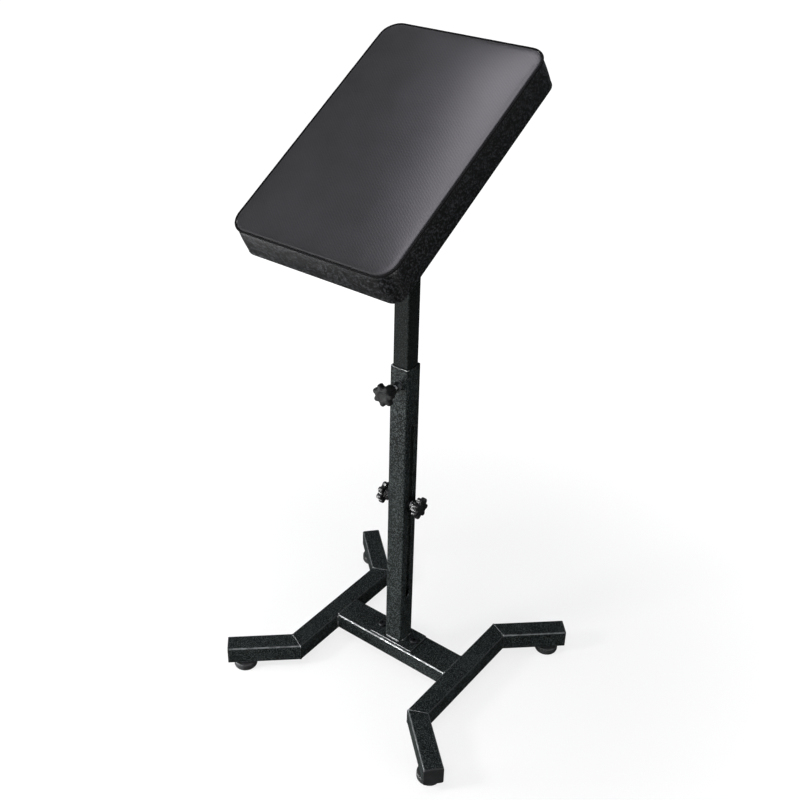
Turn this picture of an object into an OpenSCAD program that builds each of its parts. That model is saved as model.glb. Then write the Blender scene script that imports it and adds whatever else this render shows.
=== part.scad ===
// Arm rest stand: a padded rest that tilts on a telescopic post, on a wide base with splayed toes.
// Millimetres. The origin is on the floor under the post, +Z up, +X along the cross beam,
// and -Y towards the sitter. The pad's near edge is its low one.

/* [Base] */
// Distance between the centre lines of the two legs
leg_span = 250; // [220:5:320]
// Width of a leg tube
leg_w = 31; // [25:1:36]
// Height of a leg tube
leg_h = 31; // [25:1:36]
// Wall of a leg tube
leg_wall = 1.5; // [1.2:0.1:2.5]
// Outer corner radius of the leg and toe tubes
leg_corner_r = 3; // [2.6:0.1:4]
// Length of the straight middle of a leg, along its outer face
leg_mid_len = 215; // [170:5:300]
// Turn of each toe outwards from its leg, in degrees
toe_splay = 48; // [25:1:60]
// Length of a toe along its centre line, with its end plug
toe_len = 113; // [90:1:150]
// Front to back size of the cross beam
beam_depth = 51; // [48:1:70]
// Height of the cross beam
beam_h = 29; // [25:1:36]
// Wall of the cross beam
beam_wall = 2; // [1.2:0.1:3]
// Outer corner radius of the cross beam
beam_corner_r = 3; // [2.6:0.1:4]

/* [Toe plugs] */
// Thickness of the plug's outer flange
plug_flange = 2.5; // [1.5:0.1:4]
// Depth of the plug inside the tube
plug_depth = 14; // [8:0.5:20]
// Wall of the hollow plug
plug_wall = 1.8; // [1.2:0.1:3]
// Gap between the plug and the tube's inner wall
plug_clear = 0.15; // [0.1:0.05:0.3]

/* [Feet] */
// Diameter of a moulded foot
foot_d = 38; // [30:0.5:46]
// Height of a moulded foot
foot_h = 16; // [14:0.5:24]
// Stud left showing between a foot and its toe
foot_gap = 1; // [1:0.5:6]
// Rounding of a foot's lower edge
foot_round = 4.5; // [2:0.5:6]
// Diameter of the raised boss on top of a foot
foot_boss_d = 20; // [16:0.5:26]
// Height of the raised boss
foot_boss_h = 2.5; // [1:0.5:4]
// Depth of the stud in the moulding
foot_stud_seat = 10; // [6:0.5:12]
// Distance of a foot's stud from the end of its toe
foot_inset = 28; // [24:1:40]

/* [Outer post] */
// Side of the square outer post
column_w = 31.5; // [28:0.5:38]
// Wall of the outer post
column_wall = 2; // [1.5:0.1:2.5]
// Outer corner radius of the outer post
column_corner_r = 2.8; // [2.6:0.1:4]
// Length of the outer post
column_len = 514; // [480:2:600]
// Height of the slots' lower ends over the post's foot
slot_rise = 88; // [60:2:110]
// Length of a slot, end to end
slot_len = 329; // [260:1:340]
// Gap between a side stud and the edge of its slot
slot_clear = 0.5; // [0.3:0.1:1]
// Distance of the clamp stud below the post's top
clamp_drop = 28; // [20:1:40]
// Length of the post's base plate, along the beam
plate_len = 84; // [80:1:110]
// Depth of the base plate, front to back
plate_depth = 46; // [40:0.5:47]
// Thickness of the base plate
plate_t = 4; // [3:0.5:6]
// Corner radius of the base plate
plate_corner_r = 3; // [1:0.5:8]
// Distance between the two base bolts
bolt_span = 66; // [62:1:66]

/* [Inner post] */
// Gap all round between the two posts
post_clear = 0.6; // [0.3:0.1:0.7]
// Wall of the inner post
mast_wall = 1.5; // [1.2:0.1:2]
// Outer corner radius of the inner post
mast_corner_r = 2.2; // [2.1:0.1:3]
// Length of the inner post
mast_len = 531; // [500:1:600]
// Length of the inner post below the side studs
mast_tail = 20; // [14:0.5:30]
// Length of the inner post above the tilt pivot
mast_head = 14; // [10:0.5:18]
// Height of the side studs over the slots' lower ends, as set
knob_setting = 187; // [60:1:200]

/* [Knobs] */
// Diameter of every clamping thread
thread_d = 8; // [6:0.5:8.5]
// Diameter of a star knob over its lobes
knob_d = 35; // [32:0.5:40]
// Number of lobes
knob_lobes = 7; // [5:1:8]
// Radius of a lobe's round end
lobe_r = 5; // [4:0.1:5.4]
// Radius of the knob at the root of a valley
knob_root_r = 13.2; // [12.6:0.1:14]
// Radius of the valleys between the lobes
valley_r = 4; // [3:0.1:4.6]
// Thickness of the lobed head at its rim
head_t = 8.5; // [7:0.5:12]
// Rise of the head's domed face over its rim
head_dome = 1.4; // [0.8:0.1:3]
// Rounding of the head's rim
head_round = 2; // [1:0.1:3]
// Radius of the shallow dish in the face
dish_r = 7; // [5:0.5:9]
// Depth of the dish
dish_depth = 0.6; // [0.3:0.1:1]
// Diameter of the fluted hub
hub_d = 18; // [16:0.5:21]
// Length of the fluted hub of a side or tilt knob
hub_len = 8; // [7:0.5:12]
// Length of the clamp knob's longer hub, which keeps its head clear of the post
clamp_hub_len = 15; // [12:0.5:18]
// Number of flutes round the hub
hub_flutes = 14; // [8:1:18]
// Radius of a flute
flute_r = 1.2; // [0.8:0.1:1.4]
// Diameter of the steel collar at the hub's end
collar_d = 12; // [11:0.5:14]
// Length of the steel collar
collar_len = 3.5; // [3:0.5:6]
// Length of the stud held in the head
stud_seat = 11; // [9:0.5:13]
// Clamp stud left showing in front of its nut
clamp_gap = 4; // [2:0.5:8]
// Gap between the clamp stud's tip and the inner post
tip_clear = 0.3; // [0.1:0.1:0.5]

/* [Nuts, bolts and washers] */
// Width across the flats of a hexagon nut
nut_af = 13; // [12.5:0.5:15]
// Thickness of a hexagon nut
nut_h = 6.5; // [5:0.5:7]
// Thickness of the weld nut for the clamp stud
clamp_nut_h = 8; // [6:0.5:10]
// Diameter of a side or tilt washer
washer_d = 22; // [18:0.5:26]
// Thickness of a side or tilt washer
washer_t = 2; // [1.5:0.1:3]
// Head diameter of a base bolt
bolt_head_d = 14; // [12.5:0.5:15]
// Head height of a base bolt
bolt_head_h = 4.4; // [3.5:0.1:6]
// Width across the flats of the hexagon socket
socket_af = 5; // [4:0.5:6]
// Depth of the hexagon socket
socket_depth = 2.4; // [1.5:0.1:3]
// Running gap round a thread or a pin
run_clear = 0.05; // [0.02:0.01:0.08]
// Gap round a bolt in a plain hole
hole_clear = 0.5; // [0.3:0.1:0.8]

/* [Tilt mount] */
// Height from the pivot to the underside of the pad
pivot_drop = 43; // [40:0.5:55]
// Tilt of the pad, far edge up, in degrees
pad_tilt = 31; // [-60:1:65]
// Thickness of the pressed saddle
saddle_t = 3; // [2:0.1:4]
// Length of the saddle under the pad
saddle_len = 116; // [108:1:140]
// Width of an ear where it leaves the saddle
ear_w = 66; // [50:1:76]
// Radius of an ear round the pivot
ear_r = 16; // [13:0.5:18]
// Outer radius of the saddle's bends
saddle_bend_r = 5; // [4.2:0.1:6]
// Thickness of a friction washer
friction_t = 1.5; // [1:0.1:2]
// Diameter of a friction washer
friction_d = 24; // [20:0.5:26]
// Gap between a friction washer and the inner post
tilt_clear = 0.1; // [0.05:0.01:0.2]
// Outer diameter of the pivot bush
bush_d = 12; // [10.5:0.5:14]
// Head diameter of the pivot bolt
pivot_head_d = 20; // [16:0.5:24]
// Head height of the pivot bolt
pivot_head_h = 4; // [3:0.1:6]
// Diameter of a pad screw
screw_d = 6; // [4:0.5:7]
// Head diameter of a pad screw
screw_head_d = 12; // [10:0.5:13]
// Head height of a pad screw
screw_head_h = 3.4; // [2.5:0.1:4]
// Length of a pad screw held in the board
screw_grip = 9; // [6:0.5:10]
// Distance between the pad screws, across the pad
screw_span_x = 16; // [14:0.5:17]
// Distance between the pad screws, along the pad
screw_span_y = 92; // [88:0.5:94]

/* [Pad] */
// Length of the pad, from its low edge to its high edge
pad_len = 378; // [320:2:460]
// Width of the pad
pad_w = 250; // [200:2:320]
// Height of the pad's side, from the underside to the seam
pad_side_h = 50; // [40:1:70]
// Rise of the crowned top over the seam
pad_crown = 5; // [2:0.5:12]
// Corner radius of the pad in plan, at the seam
pad_corner_r = 26; // [18:1:40]
// Corner radius of the pad at its underside, where the board squares it up
pad_foot_corner_r = 18; // [14:1:26]
// Largest draw-in of the pad's sides
pad_draw_in = 1.8; // [0.5:0.1:4]
// Radius of the raised seam round the top panel
welt_r = 1.3; // [0.8:0.1:2]
// Thickness of the wooden board
board_t = 12; // [11:0.5:18]
// Thickness of the padding round the board's edge
board_wrap = 6; // [5:0.5:12]
// Gap between the board and the padding
board_clear = 0.2; // [0.1:0.05:0.4]
// Thickness of the cloth under the board
cloth_t = 1; // [0.5:0.1:1.5]
// Inset of the cloth from the pad's edge
cloth_inset = 10; // [8:0.5:16]

/* [Hidden] */
$fn = 48;

// One overrun serves every cut
overrun = 1;

// The base, from the floor up
beam_top = foot_h + foot_gap + leg_h;
leg_z = beam_top - leg_h / 2;
leg_x = leg_span / 2;
bend_y = leg_mid_len / 2 + leg_w / 2 * tan(toe_splay / 2);
beam_len = leg_span - leg_w;
toe_tube_len = toe_len - plug_flange;
foot_y = toe_len - foot_inset;
foot_stud_proud = 1.5;
foot_stud_top = foot_h + foot_gap + leg_wall + nut_h + foot_stud_proud;

// The two posts
column_foot = beam_top + plate_t;
column_top = column_foot + column_len;
slot_w = thread_d + 2 * slot_clear;
stud_z = column_foot + slot_rise + knob_setting;
clamp_z = column_top - clamp_drop;
mast_w = column_w - 2 * column_wall - 2 * post_clear;
mast_foot = stud_z - mast_tail;
mast_reach = mast_len - mast_tail - mast_head;
pivot_z = stud_z + mast_reach;

// The side studs run from the washer's outer face to just past their nuts
side_seat = column_w / 2 + washer_t;
side_nut_end = mast_w / 2 - mast_wall - nut_h;
stud_proud = 0.5;
side_stud_len = side_seat - side_nut_end + stud_proud;

// The clamp stud runs from its collar to the inner post
clamp_seat = column_w / 2 + clamp_nut_h + clamp_gap;
clamp_stud_len = clamp_seat - mast_w / 2 - tip_clear;

// The tilt mount, across the post
ear_in = mast_w / 2 + tilt_clear + friction_t;
ear_out = ear_in + saddle_t;
tilt_seat = ear_out + washer_t;
web_bottom = -cloth_t - saddle_t;
insert_len = collar_len + stud_seat;
insert_bore_len = insert_len - 1;
pivot_bolt_end = tilt_seat + insert_bore_len - 1;

// The star knob's face
dome_r = (pow(knob_d / 2, 2) + pow(head_dome, 2)) / (2 * head_dome);
dish_ball_r = (pow(dish_r, 2) + pow(dish_depth, 2)) / (2 * dish_depth);

// Base bolts
bolt_proud = 1.5;
bolt_shank_len = plate_t + beam_wall + nut_h + bolt_proud;

// The pad's forms
board_w = pad_w - 2 * (board_wrap + welt_r);
board_len = pad_len - 2 * (board_wrap + welt_r);
board_corner_r = pad_corner_r - board_wrap - welt_r;
corner_steps = 8;
// Inset and height of each ring up the pad's side, as shares of the draw-in and the side's height
side_shares = [[1.1, 0], [0.4, 0.035], [0.1, 0.12], [0, 0.3], [0.25, 0.6], [0.7, 0.84], [1, 0.93]];
// Angles of the rings round the raised seam, in degrees
welt_angles = [-35, 0, 35, 70, 110, 150];
// Inset of each ring of the top panel, as shares of half the pad's width
top_shares = [0.035, 0.06, 0.1, 0.16, 0.25, 0.38, 0.56, 0.78, 0.95];
// How fast the crown rises from its edge
crown_power = 2.6;
least_corner_r = 2;

// Two-dimensional outlines

module rounded_rect(w, h, r) {
    square([w - 2 * r, h], center = true);
    square([w, h - 2 * r], center = true);
    for (sx = [-1, 1], sy = [-1, 1])
        translate([sx * (w / 2 - r), sy * (h / 2 - r)])
            circle(r = r);
}

module tube_outline(w, h, r, wall) {
    difference() {
        rounded_rect(w, h, r);
        rounded_rect(w - 2 * wall, h - 2 * wall, r - wall);
    }
}

module star_outline() {
    turn = 360 / knob_lobes;
    difference() {
        union() {
            circle(r = knob_root_r + (knob_d / 2 - knob_root_r) / 2);
            for (i = [0 : knob_lobes - 1])
                rotate(i * turn)
                    translate([knob_d / 2 - lobe_r, 0])
                        circle(r = lobe_r);
        }
        for (i = [0 : knob_lobes - 1])
            rotate((i + 1 / 2) * turn)
                translate([knob_root_r + valley_r, 0])
                    circle(r = valley_r);
    }
}

// A rotating profile from the axis out to r, rounded at its upper rim
module capped_profile(r, h, round_r) {
    square([r - round_r, h]);
    square([r, h - round_r]);
    translate([r - round_r, h - round_r])
        circle(r = round_r);
}

// Solids that repeat

// A square tube along +Y from y = 0
module tube_y(w, h, r, wall, length) {
    translate([0, length, 0])
        rotate([90, 0, 0])
            linear_extrude(length)
                tube_outline(w, h, r, wall);
}

module bore(r, h) {
    translate([0, 0, -overrun])
        cylinder(r = r, h = h + 2 * overrun);
}

// A hexagon nut on z = 0
module hex_nut(h) {
    difference() {
        cylinder(r = nut_af / 2 / cos(30), h = h, $fn = 6);
        bore(thread_d / 2 + run_clear, h);
    }
}

module washer(d, t) {
    difference() {
        cylinder(d = d, h = t);
        bore(thread_d / 2 + run_clear, t);
    }
}

// The moulded star knob, its collar's face on z = 0 and its face towards +Z
module star_knob_head(bore_r, hub) {
    rim_foot = collar_len + hub;
    head_top = rim_foot + head_t + head_dome;
    head_face = head_top - head_dome / 2;
    difference() {
        union() {
            translate([0, 0, collar_len])
                difference() {
                    cylinder(d = hub_d, h = hub + overrun);
                    for (i = [0 : hub_flutes - 1])
                        rotate(i * 360 / hub_flutes)
                            translate([hub_d / 2 + flute_r / 2, 0, -overrun])
                                cylinder(r = flute_r, h = hub + overrun);
                }
            intersection() {
                translate([0, 0, rim_foot])
                    linear_extrude(head_t + head_dome)
                        star_outline();
                rotate_extrude()
                    intersection() {
                        translate([0, rim_foot])
                            capped_profile(knob_d / 2, head_face - rim_foot, head_round);
                        translate([0, head_top - dome_r])
                            circle(r = dome_r, $fn = 180);
                        translate([0, collar_len])
                            square([knob_d, head_top]);
                    }
            }
        }
        translate([0, 0, collar_len - overrun])
            cylinder(r = bore_r, h = stud_seat + overrun);
        translate([0, 0, head_face - dish_depth + dish_ball_r])
            sphere(r = dish_ball_r, $fn = 180);
    }
}

// The stud moulded into a star knob: a collar, the thread below it and the end held in the head
module star_knob_stud(reach) {
    cylinder(d = collar_d, h = collar_len);
    translate([0, 0, -reach])
        cylinder(d = thread_d, h = reach + collar_len + stud_seat);
}

// Frames of reference

module rear_right(side, end) {
    mirror([side < 0 ? 1 : 0, 0, 0])
        mirror([0, end < 0 ? 1 : 0, 0])
            children();
}

// The frame of the rear right toe: its centre line runs along +Y from the bend
module toe_frame() {
    translate([leg_x, bend_y, 0])
        rotate([0, 0, -toe_splay])
            children();
}

// Everything past the mitre of the rear right bend, or with way = -1 everything before it
module past_mitre(way) {
    reach = leg_w + leg_mid_len + toe_len;
    translate([leg_x, bend_y, leg_z])
        rotate([0, 0, -toe_splay / 2])
            translate([-reach / 2, way > 0 ? 0 : -reach, -reach / 2])
                cube(reach);
}

module foot_frame(side, end) {
    rear_right(side, end)
        toe_frame()
            translate([0, foot_y, 0])
                children();
}

// +Z points out of the post's side, at the height of the side studs
module side_frame(side) {
    translate([0, 0, stud_z])
        rotate([0, side * 90, 0])
            children();
}

// +Z points out of the post's front, at the height of the clamp stud
module clamp_frame() {
    translate([0, 0, clamp_z])
        rotate([90, 0, 0])
            children();
}

// The pad's frame: the pad's underside is z = 0 and the pivot is at z = -pivot_drop
module pad_frame() {
    translate([0, 0, pivot_z])
        rotate([pad_tilt, 0, 0])
            translate([0, 0, pivot_drop])
                children();
}

// +Z points out of the saddle's right ear along the pivot
module tilt_frame() {
    pad_frame()
        translate([0, 0, -pivot_drop])
            rotate([0, 90, 0])
                children();
}

// Base

module cross_beam() {
    color([0.09, 0.1, 0.1])
        difference() {
            translate([-beam_len / 2, 0, beam_top - beam_h / 2])
                rotate([0, 0, -90])
                    tube_y(beam_depth, beam_h, beam_corner_r, beam_wall, beam_len);
            for (side = [-1, 1])
                translate([side * bolt_span / 2, 0, beam_top - beam_wall])
                    bore(thread_d / 2 + hole_clear, beam_wall);
        }
}

module leg(side) {
    color([0.09, 0.1, 0.1])
        rear_right(side, 1)
            difference() {
                translate([leg_x, -bend_y - leg_w, leg_z])
                    tube_y(leg_w, leg_h, leg_corner_r, leg_wall, 2 * (bend_y + leg_w));
                past_mitre(1);
                mirror([0, 1, 0])
                    past_mitre(1);
            }
}

module toe(side, end) {
    color([0.09, 0.1, 0.1])
        rear_right(side, end)
            difference() {
                toe_frame()
                    translate([0, -leg_w, leg_z])
                        tube_y(leg_w, leg_h, leg_corner_r, leg_wall, leg_w + toe_tube_len);
                past_mitre(-1);
                toe_frame()
                    translate([0, foot_y, leg_z - leg_h / 2])
                        bore(thread_d / 2 + hole_clear, leg_wall);
            }
}

module toe_plug(side, end) {
    inner_w = leg_w - 2 * (leg_wall + plug_clear);
    inner_h = leg_h - 2 * (leg_wall + plug_clear);
    inner_r = leg_corner_r - leg_wall;
    color([0.05, 0.05, 0.055])
        rear_right(side, end)
            toe_frame()
                translate([0, toe_len, leg_z])
                    rotate([90, 0, 0]) {
                        linear_extrude(plug_flange)
                            rounded_rect(leg_w, leg_h, leg_corner_r);
                        translate([0, 0, plug_flange])
                            linear_extrude(plug_depth)
                                tube_outline(inner_w, inner_h, inner_r, min(plug_wall, inner_r * 4 / 5));
                    }
}

module toe_nuts() {
    color([0.6, 0.6, 0.62])
        for (side = [-1, 1], end = [-1, 1])
            foot_frame(side, end)
                translate([0, 0, foot_h + foot_gap + leg_wall])
                    hex_nut(nut_h);
}

module foot(side, end) {
    color([0.07, 0.07, 0.075])
        foot_frame(side, end)
            difference() {
                rotate_extrude()
                    intersection() {
                        union() {
                            translate([0, foot_h - foot_boss_h])
                                mirror([0, 1])
                                    capped_profile(foot_d / 2, foot_h - foot_boss_h, foot_round);
                            capped_profile(foot_boss_d / 2, foot_h, foot_boss_h / 2);
                        }
                        square([foot_d, foot_h]);
                    }
                translate([0, 0, foot_h - foot_stud_seat])
                    cylinder(r = thread_d / 2 + run_clear, h = foot_stud_seat + overrun);
            }
}

module foot_stud(side, end) {
    color([0.62, 0.62, 0.64])
        foot_frame(side, end)
            translate([0, 0, foot_h - foot_stud_seat])
                cylinder(d = thread_d, h = foot_stud_top - foot_h + foot_stud_seat);
}

module base_plate() {
    color([0.09, 0.1, 0.1])
        difference() {
            translate([0, 0, beam_top])
                linear_extrude(plate_t)
                    rounded_rect(plate_len, plate_depth, plate_corner_r);
            for (side = [-1, 1])
                translate([side * bolt_span / 2, 0, beam_top])
                    bore(thread_d / 2 + hole_clear, plate_t);
        }
}

module base_bolts() {
    color([0.16, 0.16, 0.17])
        for (side = [-1, 1])
            translate([side * bolt_span / 2, 0, column_foot])
                difference() {
                    union() {
                        rotate_extrude()
                            intersection() {
                                capped_profile(bolt_head_d / 2, bolt_head_h, bolt_head_h * 3 / 5);
                                square([bolt_head_d, bolt_head_h]);
                            }
                        translate([0, 0, -bolt_shank_len])
                            cylinder(d = thread_d, h = bolt_shank_len);
                    }
                    translate([0, 0, bolt_head_h - socket_depth])
                        cylinder(r = socket_af / 2 / cos(30), h = socket_depth + overrun, $fn = 6);
                }
}

module beam_nuts() {
    color([0.6, 0.6, 0.62])
        for (side = [-1, 1])
            translate([side * bolt_span / 2, 0, beam_top - beam_wall - nut_h])
                hex_nut(nut_h);
}

// Outer post

module post_slot() {
    reach = column_w + 2 * overrun;
    low = column_foot + slot_rise + slot_w / 2;
    high = column_foot + slot_rise + slot_len - slot_w / 2;
    translate([-reach / 2, -slot_w / 2, low])
        cube([reach, slot_w, high - low]);
    for (z = [low, high])
        translate([-reach / 2, 0, z])
            rotate([0, 90, 0])
                cylinder(d = slot_w, h = reach);
}

module outer_post() {
    color([0.1, 0.11, 0.11])
        difference() {
            translate([0, 0, column_foot])
                linear_extrude(column_len)
                    tube_outline(column_w, column_w, column_corner_r, column_wall);
            post_slot();
            clamp_frame()
                translate([0, 0, column_w / 2 - column_wall])
                    bore(thread_d / 2 + hole_clear, column_wall);
        }
}

module clamp_nut() {
    color([0.12, 0.12, 0.13])
        clamp_frame()
            translate([0, 0, column_w / 2])
                hex_nut(clamp_nut_h);
}

module clamp_knob_head() {
    color([0.05, 0.05, 0.055])
        clamp_frame()
            translate([0, 0, clamp_seat])
                star_knob_head(thread_d / 2 + run_clear, clamp_hub_len);
}

module clamp_knob_stud() {
    color([0.75, 0.75, 0.77])
        clamp_frame()
            translate([0, 0, clamp_seat])
                star_knob_stud(clamp_stud_len);
}

// Inner post

module inner_post() {
    color([0.1, 0.11, 0.11])
        difference() {
            translate([0, 0, mast_foot])
                linear_extrude(mast_len)
                    tube_outline(mast_w, mast_w, mast_corner_r, mast_wall);
            translate([-mast_w / 2, 0, stud_z])
                rotate([0, 90, 0])
                    bore(thread_d / 2 + hole_clear, mast_w);
            translate([-mast_w / 2, 0, pivot_z])
                rotate([0, 90, 0])
                    bore(bush_d / 2 + run_clear, mast_w);
        }
}

module inner_post_nuts() {
    color([0.6, 0.6, 0.62])
        for (side = [-1, 1])
            side_frame(side)
                translate([0, 0, side_nut_end])
                    hex_nut(nut_h);
}

module pivot_bush() {
    color([0.6, 0.6, 0.62])
        translate([-mast_w / 2, 0, pivot_z])
            rotate([0, 90, 0])
                difference() {
                    cylinder(d = bush_d, h = mast_w);
                    bore(thread_d / 2 + run_clear, mast_w);
                }
}

// Side knobs

module side_washer(side) {
    color([0.7, 0.7, 0.72])
        side_frame(side)
            translate([0, 0, column_w / 2])
                washer(washer_d, washer_t);
}

module side_knob_head(side) {
    color([0.05, 0.05, 0.055])
        side_frame(side)
            translate([0, 0, side_seat])
                star_knob_head(thread_d / 2 + run_clear, hub_len);
}

module side_knob_stud(side) {
    color([0.75, 0.75, 0.77])
        side_frame(side)
            translate([0, 0, side_seat])
                star_knob_stud(side_stud_len);
}

// Tilt mount

// The side view of the saddle: its web, and an ear whose edges run tangent to its round end
module saddle_side_outline() {
    half = ear_w / 2;
    drop = pivot_drop - cloth_t;
    dist = norm([half, drop]);
    turn = atan2(drop, half) - acos(ear_r / dist);
    touch = [ear_r * cos(turn), ear_r * sin(turn) - pivot_drop];
    translate([-saddle_len / 2, web_bottom])
        square([saddle_len, saddle_t]);
    translate([0, -pivot_drop])
        circle(r = ear_r);
    polygon([[-half, -cloth_t], [-touch[0], touch[1]], [touch[0], touch[1]], [half, -cloth_t]]);
}

// The end view of the saddle: a channel open downwards
module saddle_end_outline() {
    depth = pivot_drop + ear_r;
    inner_r = saddle_bend_r - saddle_t;
    difference() {
        translate([0, -cloth_t - depth])
            rounded_rect(2 * ear_out, 2 * depth, saddle_bend_r);
        translate([0, -cloth_t - saddle_t - depth])
            rounded_rect(2 * ear_in, 2 * depth, inner_r);
    }
}

module saddle() {
    depth = pivot_drop + ear_r;
    color([0.1, 0.11, 0.11])
        pad_frame()
            difference() {
                intersection() {
                    translate([0, saddle_len / 2, 0])
                        rotate([90, 0, 0])
                            linear_extrude(saddle_len)
                                saddle_end_outline();
                    rotate([90, 0, 90])
                        translate([0, 0, -ear_out])
                            linear_extrude(2 * ear_out)
                                saddle_side_outline();
                }
                translate([-ear_out, 0, -pivot_drop])
                    rotate([0, 90, 0])
                        bore(thread_d / 2 + run_clear, 2 * ear_out);
                for (sx = [-1, 1], sy = [-1, 1])
                    translate([sx * screw_span_x / 2, sy * screw_span_y / 2, web_bottom])
                        bore(screw_d / 2 + hole_clear, saddle_t);
            }
}

module friction_washers() {
    color([0.3, 0.28, 0.25])
        for (side = [-1, 1])
            tilt_frame()
                translate([0, 0, side > 0 ? ear_in - friction_t : -ear_in])
                    washer(friction_d, friction_t);
}

module pivot_bolt() {
    color([0.65, 0.65, 0.67])
        tilt_frame() {
            translate([0, 0, -ear_out])
                cylinder(d = thread_d, h = ear_out + pivot_bolt_end);
            translate([0, 0, -ear_out])
                mirror([0, 0, 1])
                    rotate_extrude()
                        intersection() {
                            capped_profile(pivot_head_d / 2, pivot_head_h, pivot_head_h * 3 / 4);
                            square([pivot_head_d, pivot_head_h]);
                        }
        }
}

module pad_screws() {
    color([0.6, 0.6, 0.62])
        pad_frame()
            for (sx = [-1, 1], sy = [-1, 1])
                translate([sx * screw_span_x / 2, sy * screw_span_y / 2, web_bottom]) {
                    mirror([0, 0, 1])
                        rotate_extrude()
                            intersection() {
                                capped_profile(screw_head_d / 2, screw_head_h, screw_head_h / 2);
                                square([screw_head_d, screw_head_h]);
                            }
                    cylinder(d = screw_d, h = saddle_t + cloth_t + screw_grip);
                }
}

module tilt_washer() {
    color([0.7, 0.7, 0.72])
        tilt_frame()
            translate([0, 0, ear_out])
                washer(washer_d, washer_t);
}

module tilt_knob_head() {
    color([0.05, 0.05, 0.055])
        tilt_frame()
            translate([0, 0, tilt_seat])
                star_knob_head(collar_d / 2 + run_clear, hub_len);
}

module tilt_knob_insert() {
    color([0.75, 0.75, 0.77])
        tilt_frame()
            translate([0, 0, tilt_seat])
                difference() {
                    cylinder(d = collar_d, h = insert_len);
                    translate([0, 0, -overrun])
                        cylinder(r = thread_d / 2 + run_clear, h = insert_bore_len + overrun);
                }
}

// Pad

module pad_board() {
    color([0.62, 0.47, 0.3])
        pad_frame()
            difference() {
                linear_extrude(board_t)
                    rounded_rect(board_w, board_len, board_corner_r);
                for (sx = [-1, 1], sy = [-1, 1])
                    translate([sx * screw_span_x / 2, sy * screw_span_y / 2, -overrun])
                        cylinder(r = screw_d / 2 + run_clear, h = screw_grip + overrun);
            }
}

module underside_cloth() {
    color([0.06, 0.06, 0.065])
        pad_frame()
            difference() {
                translate([0, 0, -cloth_t])
                    linear_extrude(cloth_t)
                        rounded_rect(pad_w - 2 * cloth_inset, pad_len - 2 * cloth_inset,
                            pad_corner_r - cloth_inset);
                for (sx = [-1, 1], sy = [-1, 1])
                    translate([sx * screw_span_x / 2, sy * screw_span_y / 2, -cloth_t])
                        bore(screw_d / 2 + hole_clear, cloth_t);
            }
}

// A level ring round the pad, set in from its outline, with its points counterclockwise from above
function pad_ring(inset, z, corner_r = pad_corner_r) =
    let (r = max(corner_r - inset, least_corner_r))
    let (cx = pad_w / 2 - inset - r, cy = pad_len / 2 - inset - r)
    [for (c = [[1, -1, -90], [1, 1, 0], [-1, 1, 90], [-1, -1, 180]], i = [0 : corner_steps])
        let (a = c[2] + 90 * i / corner_steps)
        [c[0] * cx + r * cos(a), c[1] * cy + r * sin(a), z]];

function crown_z(inset) =
    pad_side_h + pad_crown * (1 - pow(1 - min(1, inset / (pad_w / 2)), crown_power)) - welt_r / 2;

// The rings run from the board's pocket, under the edge, up the side, over the seam and across the top
function cushion_rings() = concat(
    [pad_ring(board_wrap + welt_r - board_clear, board_t + board_clear)],
    [pad_ring(board_wrap + welt_r - board_clear, 0)],
    [for (s = side_shares)
        pad_ring(welt_r / 2 + s[0] * pad_draw_in, s[1] * pad_side_h,
            pad_foot_corner_r + (pad_corner_r - pad_foot_corner_r) * s[1])],
    [for (a = welt_angles) pad_ring(welt_r - welt_r * cos(a), pad_side_h - welt_r / 2 + welt_r * sin(a))],
    [for (s = top_shares) pad_ring(s * pad_w / 2, crown_z(s * pad_w / 2))]);

module pad_cushion() {
    rings = cushion_rings();
    count = len(rings[0]);
    last = len(rings) - 1;
    points = [for (ring = rings, p = ring) p];
    walls = [for (i = [0 : last - 1], j = [0 : count - 1])
        let (a = i * count + j, b = i * count + (j + 1) % count)
        each [[a, a + count, b + count], [a, b + count, b]]];
    pocket = [[for (j = [0 : count - 1]) j]];
    top = [[for (j = [count - 1 : -1 : 0]) last * count + j]];
    color([0.2, 0.2, 0.21])
        pad_frame()
            polyhedron(points = points, faces = concat(walls, pocket, top), convexity = 4);
}

cross_beam();
leg(-1);  // left_leg
leg(1);  // right_leg
toe(-1, -1);  // front_left_toe
toe(1, -1);  // front_right_toe
toe(-1, 1);  // rear_left_toe
toe(1, 1);  // rear_right_toe
toe_plug(-1, -1);  // front_left_plug
toe_plug(1, -1);  // front_right_plug
toe_plug(-1, 1);  // rear_left_plug
toe_plug(1, 1);  // rear_right_plug
toe_nuts();
foot(-1, -1);  // front_left_foot
foot(1, -1);  // front_right_foot
foot(-1, 1);  // rear_left_foot
foot(1, 1);  // rear_right_foot
foot_stud(-1, -1);  // front_left_foot_stud
foot_stud(1, -1);  // front_right_foot_stud
foot_stud(-1, 1);  // rear_left_foot_stud
foot_stud(1, 1);  // rear_right_foot_stud
base_plate();
base_bolts();
beam_nuts();
outer_post();
clamp_nut();
clamp_knob_head();
clamp_knob_stud();
inner_post();
inner_post_nuts();
pivot_bush();
side_washer(-1);  // left_side_washer
side_knob_head(-1);  // left_side_knob_head
side_knob_stud(-1);  // left_side_knob_stud
side_washer(1);  // right_side_washer
side_knob_head(1);  // right_side_knob_head
side_knob_stud(1);  // right_side_knob_stud
saddle();
friction_washers();
pivot_bolt();
pad_screws();
tilt_washer();
tilt_knob_head();
tilt_knob_insert();
pad_board();
pad_cushion();
underside_cloth();
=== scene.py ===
"""Looks of a padded arm rest stand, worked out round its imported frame.

Metres, in the frame's own axes: the floor is z = 0 under the post, +X runs along the cross beam and
-Y is the clamp knob's side. Every new piece is a surface worked out on a grid with numpy.
"""
import logging
import math
from collections.abc import Sequence
from dataclasses import dataclass, field
from enum import Enum
from itertools import product

import bmesh
import bpy
import numpy as np
from mathutils import Matrix, Vector


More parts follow.
